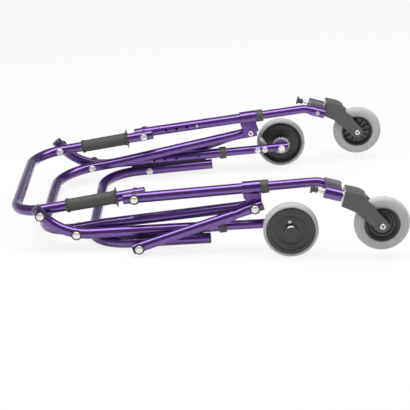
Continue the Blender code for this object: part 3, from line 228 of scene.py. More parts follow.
# A piece with holes cut in it: one boolean with all its cutters in one mesh
def cutAway(obj, cutterShells, crease):
    cutter = buildMesh(obj.name + "Cutter", cutterShells)
    cut = obj.modifiers.new("cut", "BOOLEAN")
    cut.operation = "DIFFERENCE"
    cut.solver = "EXACT"
    cut.object = cutter
    bpy.context.view_layer.update()
    graph = bpy.context.evaluated_depsgraph_get()
    mesh = bpy.data.meshes.new_from_object(obj.evaluated_get(graph))
    obj.modifiers.clear()
    obj.data = mesh
    bpy.data.objects.remove(cutter, do_unlink=True)
    mesh.shade_smooth()
    mesh.set_sharp_from_angle(angle=math.radians(crease))


# A finished piece; a star in its names stands for the side that the sign gives
def addPiece(name, shells, look, body, sign=0, covers="", crease=34.0, cutters=()):
    side = sideNames[sign]
    obj = buildMesh(name.replace("*", side.title()), shells, crease)
    if cutters:
        cutAway(obj, cutters, crease)
    obj.data.materials.clear()
    obj.data.materials.append(looks[look])
    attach(obj, body.replace("*", side))
    if covers:
        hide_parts(covers.replace("*", side))
    return obj


# Surface effects shared by the finishes

def newGroup(name, inputs, outputs):
    group = bpy.data.node_groups.new(name, "ShaderNodeTree")
    for label, value in inputs.items():
        socket = group.interface.new_socket(name=label, in_out="INPUT", socket_type="NodeSocketFloat")
        socket.default_value = value
    for label in outputs:
        group.interface.new_socket(name=label, in_out="OUTPUT", socket_type="NodeSocketFloat")
    return group, group.nodes.new("NodeGroupInput"), group.nodes.new("NodeGroupOutput")


# Sets a node's inputs, by order or by name, to a value or to a (node, output) pair that is linked to it
def setNode(tree, node, *inputs, **named):
    for key, value in [*enumerate(inputs), *named.items()]:
        socket = node.inputs[key.replace("_", " ") if isinstance(key, str) else key]
        if isinstance(value, tuple) and isinstance(value[0], bpy.types.Node):
            tree.links.new(value[0].outputs[value[1]], socket)
        else:
            socket.default_value = value
    return node


def addNode(tree, kind, *inputs, **named):
    node = tree.nodes.new("ShaderNode" + kind)
    for key in [key for key in named if hasattr(node, key)]:
        setattr(node, key, named.pop(key))
    return setNode(tree, node, *inputs, **named)


def mixTones(tree, factor, first, second):
    return addNode(tree, "Mix", data_type="RGBA", Factor=factor, A=first, B=second), "Result"


# A colour with its alpha, from three values or from one grey
def opaque(tone):
    return (*np.broadcast_to(tone, 3).tolist(), 1.0)


def newMaterial(name):
    material = bpy.data.materials.new(name)
    material.use_nodes = True
    return material, material.node_tree


# Fine surface grain: two noises, one three times as fine as the other, mixed into one height
def makeGrain():
    group, entry, leave = newGroup("surfaceGrain", {"Scale": 900.0, "Mix": 0.5}, ("Height", "Tone"))
    place = (addNode(group, "TexCoord"), "Object")
    triple = addNode(group, "Math", (entry, "Scale"), 3.1, operation="MULTIPLY")
    coarse = addNode(group, "TexNoise", Vector=place, Scale=(entry, "Scale"), Detail=3.0, Roughness=0.6)
    fine = addNode(group, "TexNoise", Vector=place, Scale=(triple, 0), Detail=2.0, Roughness=0.5)
    blend = addNode(group, "Mix", data_type="FLOAT", Factor=(entry, "Mix"), A=(coarse, "Fac"),
                    B=(fine, "Fac"))
    setNode(group, leave, Height=(blend, "Result"), Tone=(coarse, "Fac"))
    return group


# Handling marks: broad soft patches, and thin rubbed streaks that run along the frame
def makeMarks():
    group, entry, leave = newGroup("handlingMarks", {"Scale": 14.0, "Streaks": 0.5}, ("Patches", "Rubbed"))
    place = (addNode(group, "TexCoord"), "Object")
    broad = addNode(group, "TexNoise", Vector=place, Scale=(entry, "Scale"), Detail=4.0, Roughness=0.55)
    stretch = addNode(group, "Mapping", Vector=place, Scale=(0.06, 1.0, 1.0))
    streak = addNode(group, "TexNoise", Vector=(stretch, "Vector"), Scale=520.0, Detail=3.0, Roughness=0.7)
    cutOff = addNode(group, "MapRange", Value=(streak, "Fac"), From_Min=0.62, From_Max=0.78)
    amount = addNode(group, "Math", (cutOff, "Result"), (entry, "Streaks"), operation="MULTIPLY")
    setNode(group, leave, Patches=(broad, "Fac"), Rubbed=(amount, 0))
    return group


surfaceGrain = makeGrain()
handlingMarks = makeMarks()

# Tones are dark, light and rubbed; coat is weight, roughness and index; grain is scale, strength and depth
finishes = {
    "frameMauve": {"tones": ((0.093, 0.013, 0.232), (0.112, 0.018, 0.276), (0.18, 0.10, 0.36)),
                   "rough": (0.32, 0.38), "grain": (1600.0, 0.004, 0.00002), "streaks": 0.06,
                   "metallic": 1.0, "coat": (1.0, 0.070, 1.85), "slot": "purple_tube"},
    "innerMauve": {"tones": ((0.097, 0.014, 0.236), (0.116, 0.020, 0.286), (0.20, 0.12, 0.38)),
                   "rough": (0.31, 0.37), "grain": (1600.0, 0.004, 0.00002), "streaks": 0.10,
                   "metallic": 1.0, "coat": (1.0, 0.060, 1.85), "slot": "inner_tube"},
    # Caster web: the purple paint greyed towards the backdrop it mirrors on its flat top, a painted
    # reflection
    "castMauvePaintedReflection": {"tones": ((0.080, 0.053, 0.120), (0.104, 0.069, 0.152), (0.16, 0.12, 0.24)),
                  "rough": (0.42, 0.50), "grain": (700.0, 0.10, 0.00010), "streaks": 0.10,
                  "metallic": 0.80, "coat": (0.8, 0.20, 1.7), "slot": "purple_casting"},
    "plateMauve": {"tones": ((0.085, 0.024, 0.215), (0.175, 0.052, 0.390), (0.28, 0.16, 0.48)),
                   "rough": (0.34, 0.44), "grain": (420.0, 0.20, 0.00014), "streaks": 0.12,
                   "metallic": 0.85, "coat": (0.6, 0.16, 1.7), "slot": "purple_tube"},
    "toothZinc": {"tones": ((0.84, 0.84, 0.85), (0.93, 0.93, 0.94), 0.95), "rough": (0.26, 0.34),
                  "grain": (1500.0, 0.05, 0.00005), "streaks": 0.2, "metallic": 0.40, "slot": "bright_steel"},
    "ratchetMauve": {"tones": ((0.34, 0.25, 0.48), (0.52, 0.43, 0.66), (0.60, 0.56, 0.70)),
                     "rough": (0.30, 0.40), "grain": (900.0, 0.10, 0.00010), "streaks": 0.3,
                     "metallic": 0.90, "slot": "bright_steel"},
    # Near black: paints the shade in the gap between leg and crossbar arm
    "shadeRailMoulding": {"tones": ((0.012, 0.011, 0.014), (0.020, 0.018, 0.022), 0.05), "rough": (0.50, 0.62),
                     "grain": (1300.0, 0.10, 0.00010), "streaks": 0.2, "slot": "dark_plastic"},
    "wellMoulding": {"tones": (0.022, 0.034, 0.08), "rough": (0.27, 0.33), "grain": (1300.0, 0.05, 0.00006),
                     "streaks": 0.2, "coat": (0.2, 0.08, 1.9), "slot": "hub_plastic"},
    "capMoulding": {"tones": (0.030, 0.042, 0.10), "rough": (0.24, 0.30), "grain": (1300.0, 0.06, 0.00006),
                    "streaks": 0.2, "coat": (1.0, 0.06, 2.5), "slot": "hub_plastic"},
    "gripRubber": {"tones": ((0.052, 0.052, 0.048), (0.074, 0.074, 0.068), (0.10, 0.10, 0.095)),
                   "rough": (0.52, 0.66), "grain": (1100.0, 0.35, 0.00020), "streaks": 0.3,
                   "slot": "grip_rubber"},
    "darkMoulding": {"tones": ((0.055, 0.055, 0.048), (0.078, 0.078, 0.068), (0.12, 0.12, 0.11)),
                     "rough": (0.42, 0.54), "grain": (1400.0, 0.18, 0.00012), "streaks": 0.3,
                     "slot": "dark_plastic"},
    "forkMoulding": {"tones": ((0.070, 0.072, 0.070), (0.092, 0.094, 0.091), 0.14), "rough": (0.40, 0.50),
                     "grain": (1500.0, 0.22, 0.00012), "streaks": 0.3, "slot": "fork_plastic"},
    # Tyre rubber; its ring shade tone is painted shade in the moulded rings
    "wheelRubber": {"tones": ((0.440, 0.442, 0.430), (0.520, 0.522, 0.508), (0.28, 0.28, 0.27)),
                    "ringShadeTone": (0.320, 0.320, 0.312), "rough": (0.58, 0.72), "grain": (800.0, 0.15, 0.00020),
                    "streaks": 0.25, "slot": "tyre"},
    "hubMoulding": {"tones": (0.026, 0.040, 0.09), "rough": (0.24, 0.32), "grain": (1300.0, 0.08, 0.00010),
                    "streaks": 0.3, "slot": "hub_plastic"},
    "nickel": {"tones": ((0.76, 0.75, 0.71), (0.86, 0.85, 0.82), (0.92, 0.92, 0.90)), "rough": (0.22, 0.32),
               "grain": (2200.0, 0.05, 0.00005), "streaks": 0.5, "metallic": 0.66, "slot": "bright_steel"},
    "blackWasher": {"tones": ((0.028, 0.028, 0.027), (0.046, 0.046, 0.044), 0.14), "rough": (0.36, 0.48),
                    "grain": (1800.0, 0.08, 0.00006), "streaks": 0.5, "metallic": 0.4,
                    "slot": "dark_plastic"},
}


# One finish: a colour that drifts between two tones with rubbed streaks on it, a roughness that drifts
# with the same patches, a fine grain as bump, and painted shade in grooves, darkened by an attribute of their
# depth
def makeLook(name, finish):
    material, tree = newMaterial(name)
    shader = tree.nodes["Principled BSDF"]
    dark, light, rubbed = (opaque(tone) for tone in finish["tones"])
    scale, strength, depth = finish["grain"]
    grain = addNode(tree, "Group", node_tree=surfaceGrain, Scale=scale, Mix=0.45)
    marks = addNode(tree, "Group", node_tree=handlingMarks, Scale=16.0, Streaks=finish["streaks"])
    colour = mixTones(tree, (marks, "Patches"), dark, light)
    colour = mixTones(tree, (marks, "Rubbed"), colour, rubbed)
    # Painted shade: the tyre's moulded rings darken towards the ring shade tone with their depth
    if "ringShadeTone" in finish:
        ring = addNode(tree, "Attribute", attribute_name="ringShadeDepth")
        colour = mixTones(tree, (ring, "Fac"), colour, opaque(finish["ringShadeTone"]))
    rough = addNode(tree, "MapRange", Value=(marks, "Patches"), From_Min=0.3, From_Max=0.7,
                    To_Min=finish["rough"][0], To_Max=finish["rough"][1])
    bump = addNode(tree, "Bump", Strength=strength, Distance=depth, Height=(grain, "Height"))
    setNode(tree, shader, Base_Color=colour, Metallic=finish.get("metallic", 0.0),
            Roughness=(rough, "Result"), Normal=(bump, "Normal"))
    if "coat" in finish:
        weight, coatRough, index = finish["coat"]
        coat = addNode(tree, "MapRange", Value=(marks, "Rubbed"), To_Min=weight, To_Max=weight * 0.8)
        setNode(tree, shader, Coat_Weight=(coat, "Result"), Coat_Roughness=coatRough, Coat_IOR=index)
    return material


looks = {name: makeLook(name, finish) for name, finish in finishes.items()}
print("finishes made:", len(looks))


# Small parts that many places share

bolts = {"shaft": 0.0040, "headRadius": 0.0092, "headHeight": 0.0050, "washerRadius": 0.0124,
         "washer": 0.0018, "bush": 0.0042, "nutHeight": 0.0062, "sunk": 0.0020}
shaft = bolts["shaft"]


# Domed head: a skirt, then a cap that flattens towards the middle, with a socket in it where one is set
def headLine(base, radius, height, socket=0.0):
    angle = np.radians(np.linspace(8.0, 86.0, 9))
    dome = np.stack((radius * np.sin(angle) ** 0.9, base + height * (0.22 + 0.78 * np.cos(angle))), axis=-1)
    middle = [(0.0, base + height)]
    if socket > 0.0:
        dome = dome[dome[:, 0] > socket * 1.25]
        floor, rim = base + height * 0.45, dome[0, 1]
        middle = [(0.0, floor), (socket, floor), (socket, rim - 0.0003), (socket * 1.15, rim)]
    return middle + dome.tolist() + [(radius, base)]


# The rest of a bolt's profile: a shaft from under its head down to an end
def shaftLine(face, end, radius=shaft):
    return [(radius, face), (radius, end), (0.0, end)]


def washerLine(inner, outer, low, high):
    return roundedLine([(outer, high), (outer, low), (inner, low), (inner, high)], 0.00025, steps=3)


# Pivot bolt: domed head outside, shaft through both tubes, cap nut inside, washers outside and between
def pivotBolt(name, covers, pivot, near, far, sign, bend=0.0, farRadius=tubeRadius):
    inner = near - tubeRadius - pivotGap - bend
    outer = far + farRadius + pivotGap
    face = outer + bolts["bush"]
    head = headLine(face, bolts["headRadius"], bolts["headHeight"]) + shaftLine(face, inner - 0.001)
    nut = headLine(-inner, bolts["headRadius"], bolts["nutHeight"]) + [(shaft, -inner), (0.0, -inner)]
    addPiece(name, [spun(head, pivot, sign), spun(nut, pivot, -sign)], "nickel", "rear_frame", sign, covers)
    lines = [washerLine(shaft, bolts["washerRadius"], outer, face),
             washerLine(shaft, bolts["washerRadius"] * 0.9, near + tubeRadius + pivotGap,
                        far - farRadius - pivotGap)]
    addPiece(name + "Washer", [spun(line, pivot, sign) for line in lines], "blackWasher", "rear_frame", sign)


# Bolt whose head is inboard: head and washer inside, shaft outwards to the given end, with a disc there
def innerBolt(name, covers, pivot, inner, outer, endThick, body, sign, radius=bolts["headRadius"],
              socket=0.0):
    height = radius * 0.52
    face = inner - bolts["washer"]
    head = [(r, 2 * face - h) for r, h in headLine(face, radius, height, socket)]
    addPiece(name, [spun(head + shaftLine(face, outer), pivot, sign)], "nickel", body, sign, covers)
    parts = [spun(washerLine(shaft, radius * 1.15, face, inner), pivot, sign),
             spun(washerLine(shaft, bolts["washerRadius"] * 0.9, outer - endThick, outer), pivot, sign)]
    # Where a socket is set, a dark six-sided disc on its floor paints the shade in the socket
    if socket > 0.0:
        parts.append(spun(discLine(socket * 0.96, face - height * 0.45, face - height * 0.45 - 0.0003),
                          pivot, sign, 6))
    addPiece(name + "Washer", parts, "blackWasher", body, sign)


def discLine(radius, high, low):
    return [(0.0, high), (radius, high), (radius, low), (0.0, low)]


# Bolt with a head and a washer outside only; sunk is how far the washer reaches into what it lies on
def capBolt(name, washerName, pivot, face, sunk, body, sign):
    top = face + bolts["washer"]
    head = headLine(top, bolts["headRadius"], bolts["headHeight"]) + shaftLine(top, face - bolts["sunk"])
    addPiece(name, [spun(head, pivot, sign)], "nickel", body, sign)
    washer = washerLine(shaft, bolts["washerRadius"], face - sunk, top)
    addPiece(washerName, [spun(washer, pivot, sign)], "blackWasher", body, sign)


plug = {"rise": 0.0020, "legRise": 0.0036, "stem": 0.0090, "edge": 0.0008}


# End plug at a path's start: a rim as wide as the tube, slightly domed, on a stem that fills the mouth
def plugShell(path, kind, rise=plug["rise"]):
    radius, wall, _ = tubes[kind]
    bore = radius - wall - 0.00012
    line = [(0.0, rise), (radius * 0.55, rise - 0.0001), (radius, rise - 0.0004), (radius, 0.0), (bore, 0.0),
            (bore, -plug["stem"]), (0.0, -plug["stem"])]
    line = roundedLine(line, (0, 0.002, plug["edge"], 0.0002, 0, 0, 0), closed=False)
    return turnedShell(line, path[0], path[0] - path[1], 44)


# Rows crowded round each hole, so that the cut stays local
def rowsWithHoles(start, end, holes, spacing=0.02, reach=0.0056):
    plain = np.linspace(start, end, max(3, int(abs(end - start) / spacing)))
    near = (np.asarray(holes, float)[:, None] + np.linspace(-reach, reach, 7)).ravel()
    rows = np.unique(np.round(np.concatenate((plain, near)), 5))
    rows = rows[(rows > start + 0.001) & (rows < end - 0.001)]
    return np.concatenate(([start], rows, [end]))


def holeCutters(centres, radius, depth=0.012):
    return [turnedShell(discLine(radius, depth / 2, -depth / 2), centre, widthWay, 28) for centre in centres]


# Collars: plastic sleeves over the lower ends of the legs

collar = {"length": 0.0175, "wall": 0.0030, "cover": 0.8, "edge": 0.0013}
collarCover = collar["length"] * collar["cover"]


def makeCollar(name, place, way, body, covers, sign):
    outer, long, edge = tubeRadius + collar["wall"], collar["length"], collar["edge"]
    wide, narrow, step = tubeRadius + clearance, innerRadius + clearance, collarCover + clearance
    line = [(outer - 0.0004, long), (outer, long * 0.45), (outer, 0.0), (wide, 0.0), (wide, step),
            (narrow, step), (narrow, long)]
    line = roundedLine(line, (edge, 0.002, edge, 0.0003, 0.0, 0.0, 0.0005))
    addPiece(name, [turnedShell(line, place, way, 56)], "darkMoulding", body, sign, covers)


# Rear legs

rearLeg = {"bendU": 0.0330, "bendRadius": 0.1400, "bendAngle": 55.0, "topReach": 0.0180, "endU": 0.3474,
           "halfWidth": 0.2560, "splay": 0.0580, "splaySoft": 0.004, "holesU": (0.161, 0.190, 0.219),
           "buttonU": 0.277, "holeRadius": 0.0030}


# Half width of a rear leg: level above its bend, then out by the splay, with a soft turn between
def rearLegY(u):
    turn = np.logaddexp(0.0, (np.asarray(u) - rearLeg["bendU"]) / rearLeg["splaySoft"])
    return rearLeg["halfWidth"] + rearLeg["splay"] * rearLeg["splaySoft"] * turn


def rearPoint(u, sign, offset=0.0):
    return sidePoints(u, 0.0, sign * (rearLegY(u) + offset))


def makeRearLeg(sign):
    bend = arcLine((rearLeg["bendU"], rearLeg["bendRadius"]), rearLeg["bendRadius"],
                   -90.0 - rearLeg["bendAngle"], -90.0, 30)
    lean = math.radians(-180.0 - rearLeg["bendAngle"])
    reach = rearLeg["topReach"] - plug["legRise"]
    top = bend[0] + reach * np.array((math.cos(lean), math.sin(lean)))
    holes = (*rearLeg["holesU"], rearLeg["buttonU"])
    straight = rowsWithHoles(rearLeg["bendU"] + 0.004, rearLeg["endU"], holes)
    u = np.concatenate(([top[0]], bend[:, 0], straight))
    v = np.concatenate(([top[1]], bend[:, 1], np.zeros(len(straight))))
    path = sidePoints(u, v, sign * rearLegY(u))
    cutters = holeCutters(rearPoint(holes, sign, -tubeRadius), rearLeg["holeRadius"])
    addPiece("rearLeg*", [tubeShell(path, "frame")], "frameMauve", "rear_frame", sign, "rear_leg_*",
             cutters=cutters)
    addPiece("rearLegPlug*", [plugShell(path, "frame", plug["legRise"])], "darkMoulding", "rear_frame", sign)
    makeCollar("rearCollar*", rearPoint(rearLeg["endU"] - collarCover, sign),
               sideWay(1.0, 0.0, sign * rearLeg["splay"]), "rear_frame", "rear_collar_*", sign)


# A U-shaped bar: a tube whose path is the left half's and, mirrored, the right half's
def addBar(name, half, across, body, covers, plugs="", squeeze=(), swell=()):
    path = np.concatenate((half, half[::-1] * (1.0, -1.0, 1.0)))
    squeeze, swell = (np.concatenate((scale, scale[::-1])) if len(scale) else 1.0
                      for scale in (squeeze, swell))
    addPiece(name, [tubeShell(path, "frame", across, squeeze, swell)], "frameMauve", body, 0, covers)
    if plugs:
        addPiece(plugs, [plugShell(path, "frame"), plugShell(path[::-1], "frame")], "darkMoulding", body)


# Left half of a flat U whose arm runs through two pivots, and the way across it: an arm, then a corner
def halfU(first, second, s, y, bar):
    du, dv = headingOf(first, second)
    radius = bar["cornerRadius"]
    corner = arcLine((radius - bar["back"], y[-1] - radius), radius, 90.0, 180.0, 26)
    s = np.concatenate((s, corner[:, 0]))
    y = np.concatenate((y, corner[:, 1]))
    return sidePoints(first[0] + s * du, first[1] + s * dv, y), sideWay(-dv, du)


# Lower crossbar with its saddle rails, which also paint shade between leg and arm

lowerBar = {"endU": 0.3120, "cornerRadius": 0.1000, "railU": (0.100, 0.296), "railHalf": 0.0050}


def makeLowerBar():
    radius = lowerBar["cornerRadius"]
    cornerU = sidePlane["barCornerU"] + radius
    corner = arcLine((cornerU, rearLegY(cornerU) - radius), radius, 90.0 + math.degrees(rearLeg["splay"]),
                     180.0, 26)
    arm = np.linspace(lowerBar["endU"] - plug["rise"], cornerU + 0.01, 12)
    u = np.concatenate((arm, corner[:, 0]))
    y = np.concatenate((rearLegY(arm), corner[:, 1]))
    addBar("lowerCrossbar", sidePoints(u, -barSpacing, y), sideWay(0.0, 1.0), "rear_frame", "lower_crossbar",
           "lowerCrossbarPlugs")


# Saddle rail: a long strip in the gap between leg and arm, hollowed above and below to hug both tubes;
# its section is the lens between two circles of the tubes' radius, cut off at a set half width. The saddles
# themselves are short: the strip's length and its near-black tone paint the shade in the gap between the
# tubes
def makeSaddleShadeRail(sign):
    across = np.linspace(-lowerBar["railHalf"], lowerBar["railHalf"], 13)
    sag = np.sqrt((tubeRadius + 0.0001) ** 2 - across ** 2)
    v = np.concatenate((-sag, (-barSpacing + sag)[::-1]))
    w = np.concatenate((across, across[::-1]))
    first, last = lowerBar["railU"]
    u = np.concatenate(([first, first + 0.0006], np.linspace(first + 0.02, last - 0.02, 10),
                        [last - 0.0006, last]))[:, None]
    shrink = np.where((u == first) | (u == last), 0.93, 1.0)
    rail = cappedStack(sidePoints(u, v, sign * rearLegY(u) + w * shrink))
    # The rail's near-black finish paints the shade in the gap between leg and arm
    addPiece("saddleRail*", [rail], "shadeRailMoulding", "rear_frame", sign)


# Handle bar and grips

handle = {"armY": 0.2260, "back": 0.0703, "cornerRadius": 0.0800, "front": 0.0240}
grip = {"start": 0.0580, "length": 0.1195, "flange": 0.0030, "radius": 0.0152, "ringRadius": 0.0168,
        "flangeRadius": 0.0240, "ribs": 12, "ribDepth": 0.0015}


def makeHandle():
    rear, front = pivots["handleRear"], pivots["handleFront"]
    arm = np.linspace(math.dist(rear, front) + handle["front"] - plug["rise"], 0.02, 10)
    addBar("handleBar", *halfU(rear, front, arm, np.full(10, handle["armY"]), handle), "handle", "handle_bar",
           "handlePlugs")


# Grip: a long sleeve with a slight belly, a notched ring at its rear end and a thin flared flange in front
def makeGrip(sign):
    rear = pivots["handleRear"]
    du, dv = headingOf(rear, pivots["handleFront"])
    length, radius, bore = grip["length"], grip["radius"], tubeRadius + clearance
    ring, flange = grip["ringRadius"], grip["flangeRadius"]
    front = length + grip["flange"]
    line = [(bore, front), (radius, front), (flange - 0.0040, front - 0.0014), (flange, front - 0.0019),
            (flange, front - 0.0026), (flange - 0.0055, front - 0.0036), (radius + 0.0016, front - 0.0062),
            (radius + 0.0003, front - 0.0130), (radius + 0.0003, length * 0.5), (radius, 0.0120),
            (radius, 0.0076), (ring, 0.0068), (ring, 0.0014), (ring - 0.0010, 0.0), (bore, 0.0)]
    soft = (0, 0.0006, 0.002, 0.0004, 0.0004, 0.003, 0.003, 0.006, 0.02, 0.003, 0.0005, 0.0006, 0.0006,
            0.0005, 0)
    line = roundedLine(line, soft, steps=7)
    steps = 112
    angle = 2 * np.pi * np.arange(steps) / steps
    onRing = (line[:, :1] > radius + 0.0008) & (line[:, 1:] < 0.0070) & (line[:, 1:] > 0.0002)
    notch = np.clip((np.cos(grip["ribs"] * angle) - 0.35) * 4.0, 0.0, 1.0)
    place = sidePoints(rear[0] + grip["start"] * du, rear[1] + grip["start"] * dv, sign * handle["armY"])
    swell = np.where(onRing, -grip["ribDepth"] * notch, 0.0)
    sleeve = turnedShell(line, place, sideWay(du, dv), steps, swell)
    addPiece("grip*", [sleeve], "gripRubber", "handle", sign, "grip_*")


# How far a bar's corner has bent inwards beside a bolt's nut
def bendDepth(bar):
    run = max(0.0, bar["cornerRadius"] - bar["back"] + bolts["headRadius"])
    return bar["cornerRadius"] - math.sqrt(bar["cornerRadius"] ** 2 - run ** 2)


def makeRearBolts(sign):
    for name, covers, pivot, bar in (("handleRearBolt*", "handle_rear_bolt_*", "handleRear", handle),
                                     ("middleBolt*", "middle_bolt_*", "middle", middleBar)):
        pivotBolt(name, covers, pivots[pivot], handle["armY"], rearLeg["halfWidth"], sign, bendDepth(bar))
    pivotBolt("braceBolt*", "brace_bolt_*", pivots["brace"], float(rearLegY(pivots["brace"][0])),
              brace["rearY"], sign, farRadius=tubes["brace"][0])


# Front legs

frontLeg = {"angle": 2.45, "halfWidth": 0.2555, "splay": 0.0880, "top": 0.0265, "pitch": 0.0270,
            "buttonS": 0.1390, "holeRadius": 0.0035, "sleeveBack": 0.0255, "sleeveLength": 0.0425,
            "sleeveWall": 0.0032}
plates = {"thick": 0.0025, "back": 0.0200, "drop": 0.0085}
legDu, legDv = math.cos(math.radians(frontLeg["angle"])), math.sin(math.radians(frontLeg["angle"]))
bracketS = (pivots["bracket"][0] - pivots["handleFront"][0]) / legDu
bracketY = frontLeg["halfWidth"] + frontLeg["splay"] * bracketS
frontLegEnd = bracketS - frontLeg["sleeveBack"] + frontLeg["sleeveLength"] + pivotGap + collarCover


# Middle line of a front leg at the length s below its top pivot, as u, v and half width
def frontLine(s):
    s = np.asarray(s, float)
    return (pivots["handleFront"][0] + s * legDu, pivots["handleFront"][1] + s * legDv,
            frontLeg["halfWidth"] + frontLeg["splay"] * s)


def frontPoint(s, sign, offset=0.0):
    u, v, y = frontLine(s)
    return sidePoints(u, v, sign * (y + offset))


def frontWay(sign):
    return sideWay(legDu, legDv, sign * frontLeg["splay"])


def makeFrontLeg(sign):
    body, pivot, arm = "front_leg_*", pivots["handleFront"], handle["armY"]
    holes = frontLeg["buttonS"] + (np.arange(4) - 3) * frontLeg["pitch"]
    path = frontPoint(rowsWithHoles(-frontLeg["top"] + plug["rise"], frontLegEnd, holes), sign)
    cutters = holeCutters(frontPoint(holes, sign, -tubeRadius), frontLeg["holeRadius"])
    addPiece("frontLeg*", [tubeShell(path, "frame")], "frameMauve", body, sign, body, cutters=cutters)
    addPiece("frontLegPlug*", [plugShell(path, "frame")], "darkMoulding", body, sign)
    capBolt("legBolt*", "legBoltWasher*", pivot, frontLeg["halfWidth"] + tubeRadius, 0.0008, body, sign)
    innerBolt("handleFrontBolt*", "handle_front_bolt_*", pivot, arm - tubeRadius - pivotGap,
              arm + tubeRadius + clearance + 0.0007, 0.0007, "handle", sign)


# Bracket: a sleeve round the leg, and two plates from it down past the crossbar's pressed end
def makeBracket(sign):
    body, length, back = "front_leg_*", frontLeg["sleeveLength"], frontLeg["sleeveBack"]
    bore, outer = tubeRadius + clearance, tubeRadius + frontLeg["sleeveWall"]
    line = roundedLine([(outer, length), (outer, 0.0), (bore, 0.0), (bore, length)], 0.0009, steps=5)
    addPiece("bracketSleeve*", [turnedShell(line, frontPoint(bracketS - back, sign), frontWay(sign), 56)],
             "frameMauve", body, sign)
    u, v = pivots["bracket"]
    top = float(frontLine(bracketS)[1])
    shoulder = top - outer - plates["drop"]
    low, front, rear = v - plates["drop"], u + length - back, u - back
    outline = [(rear + 0.0004, top), (rear + 0.0004, shoulder + 0.0050),
               (u - plates["back"], shoulder - 0.0030), (u - plates["back"], low), (front - 0.0004, low),
               (front - 0.0004, top)]
    outline = roundedLine(outline, (0, 0.004, 0.004, 0.0035, 0.0035, 0), steps=7)
    innerFace = bracketY - middleBar["flat"] / 2 - pivotGap
    outerFace = bracketY + middleBar["flat"] / 2 + pivotGap
    faces = ((innerFace - plates["thick"], innerFace), (outerFace, outerFace + plates["thick"]))
    shells = [plateShell(outline, *sorted((sign * near, sign * far)), 0.0005) for near, far in faces]
    addPiece("bracket*", shells, "plateMauve", body, sign, "front_bracket_*")
    makeCollar("frontCollar*", frontPoint(frontLegEnd - collarCover, sign), frontWay(sign), body,
               "front_collar_*", sign)
    end = brace["frontY"] - middleBar["flat"] / 2 - pivotGap
    innerBolt("bracketBolt*", "bracket_bolt_*", (u, v), faces[0][0] - clearance, end,
              end - faces[1][1] - clearance, "middle_bar", sign, 0.0072, 0.0027)


# Middle crossbar: its arms splay out to the brackets, where their ends are pressed flat

middleBar = {"back": 0.0890, "cornerRadius": 0.0950, "splayStart": 0.0600, "end": 0.0150, "flat": 0.0150,
             "flatReach": 0.0220, "flatBlend": 0.0220, "window": 0.0160}


# Pressed end: the width shrinks and the height grows over a smooth step
def pressedEnd(s, flatStart, kind):
    blend = middleBar["flatBlend"]
    t = np.clip((s - flatStart + blend) / blend, 0.0, 1.0)
    t = t * t * (3 - 2 * t)
    return 1 - t * (1 - middleBar["flat"] / (2 * tubes[kind][0])), 1 + 0.05 * t


# Half widths along an arm: the straight run between two stations, averaged over a short window
def makeMiddleBar():
    first, second = pivots["middle"], pivots["bracket"]
    reach = math.dist(first, second)
    flatStart = reach - middleBar["flatReach"]
    s = np.concatenate((np.linspace(reach + middleBar["end"], flatStart - 0.03, 16),
                        np.linspace(flatStart - 0.045, 0.012, 32)))
    shifts = np.linspace(-middleBar["window"], middleBar["window"], 17)[:, None]
    splay = (middleBar["splayStart"], flatStart), (handle["armY"], bracketY)
    widths = np.interp(s + shifts, *splay).mean(axis=0)
    half, across = halfU(first, second, s, widths, middleBar)
    rest = np.ones(len(half) - len(s))
    squeeze, swell = (np.concatenate((scale, rest)) for scale in pressedEnd(s, flatStart, "frame"))
    addBar("middleCrossbar", half, across, "middle_bar", "middle_crossbar", "", squeeze, swell)


# Snap buttons in the legs' holes

snapButton = {"radius": 0.0030, "rise": 0.0030, "dome": 0.0016}


def makeButtons(sign):
    radius, dome = snapButton["radius"], snapButton["dome"]
    top = tubeRadius - innerRadius + snapButton["rise"]
    angle = np.radians(np.linspace(10.0, 90.0, 7))
    curve = np.stack((radius * np.sin(angle), top - dome + dome * np.cos(angle)), axis=-1)
    line = [(0.0, top)] + curve.tolist() + [(radius, 0.0004), (0.0, 0.0004)]
    for end, look, place in (("front", "nickel", frontPoint(frontLeg["buttonS"], sign, -innerRadius)),
                             ("rear", "blackWasher", rearPoint(rearLeg["buttonU"], sign, -innerRadius))):
        addPiece(end + "Button*", [turnedShell(line, place, -widthWay * sign, 28)], look, end + "_button_*",
                 sign, end + "_button_*")


# Front lower legs and caster heads

caster = {"cornerS": 0.4239, "bendRadius": 0.0450, "tubeEnd": -0.0040, "stemBelow": 0.0562,
          "stemOver": 0.0010, "stemAngle": -19.0, "halfWidth": 0.3550, "saddleLength": 0.0395,
          "saddleWall": 0.0020,
          "housingRadius": 0.0142, "housingLength": 0.0400, "crownGap": 0.0035, "neck": 0.0150,
          "neckRadius": 0.0050, "axleDrop": 0.1028, "axleTrail": 0.0400, "forkGap": 0.0380, "blade": 0.0050,
          "bladeEnd": 0.0155, "crownThick": 0.0060, "roof": 0.0040, "stemRadius": 0.0050, "roofBore": 0.0045}
pullKnob = {"radius": 0.0070, "length": 0.0110, "flangeRadius": 0.0110, "flange": 0.0042, "pinRadius": 0.0022}
stemDu, stemDv = math.cos(math.radians(caster["stemAngle"])), math.sin(math.radians(caster["stemAngle"]))
stemWay = sideWay(stemDu, stemDv)
housingTop = -caster["crownGap"] - caster["housingLength"]
axlePlace = (caster["axleDrop"], -caster["axleTrail"])
pinBore = pullKnob["pinRadius"] + clearance


# World points of the caster's own frame: s down the stem, w square to it
def stemPoints(s, w, y):
    u, v, _ = frontLine(caster["cornerS"])
    down, over = s + caster["stemBelow"], w + caster["stemOver"]
    return sidePoints(u + down * stemDu - over * stemDv, v + down * stemDv + over * stemDu, y)


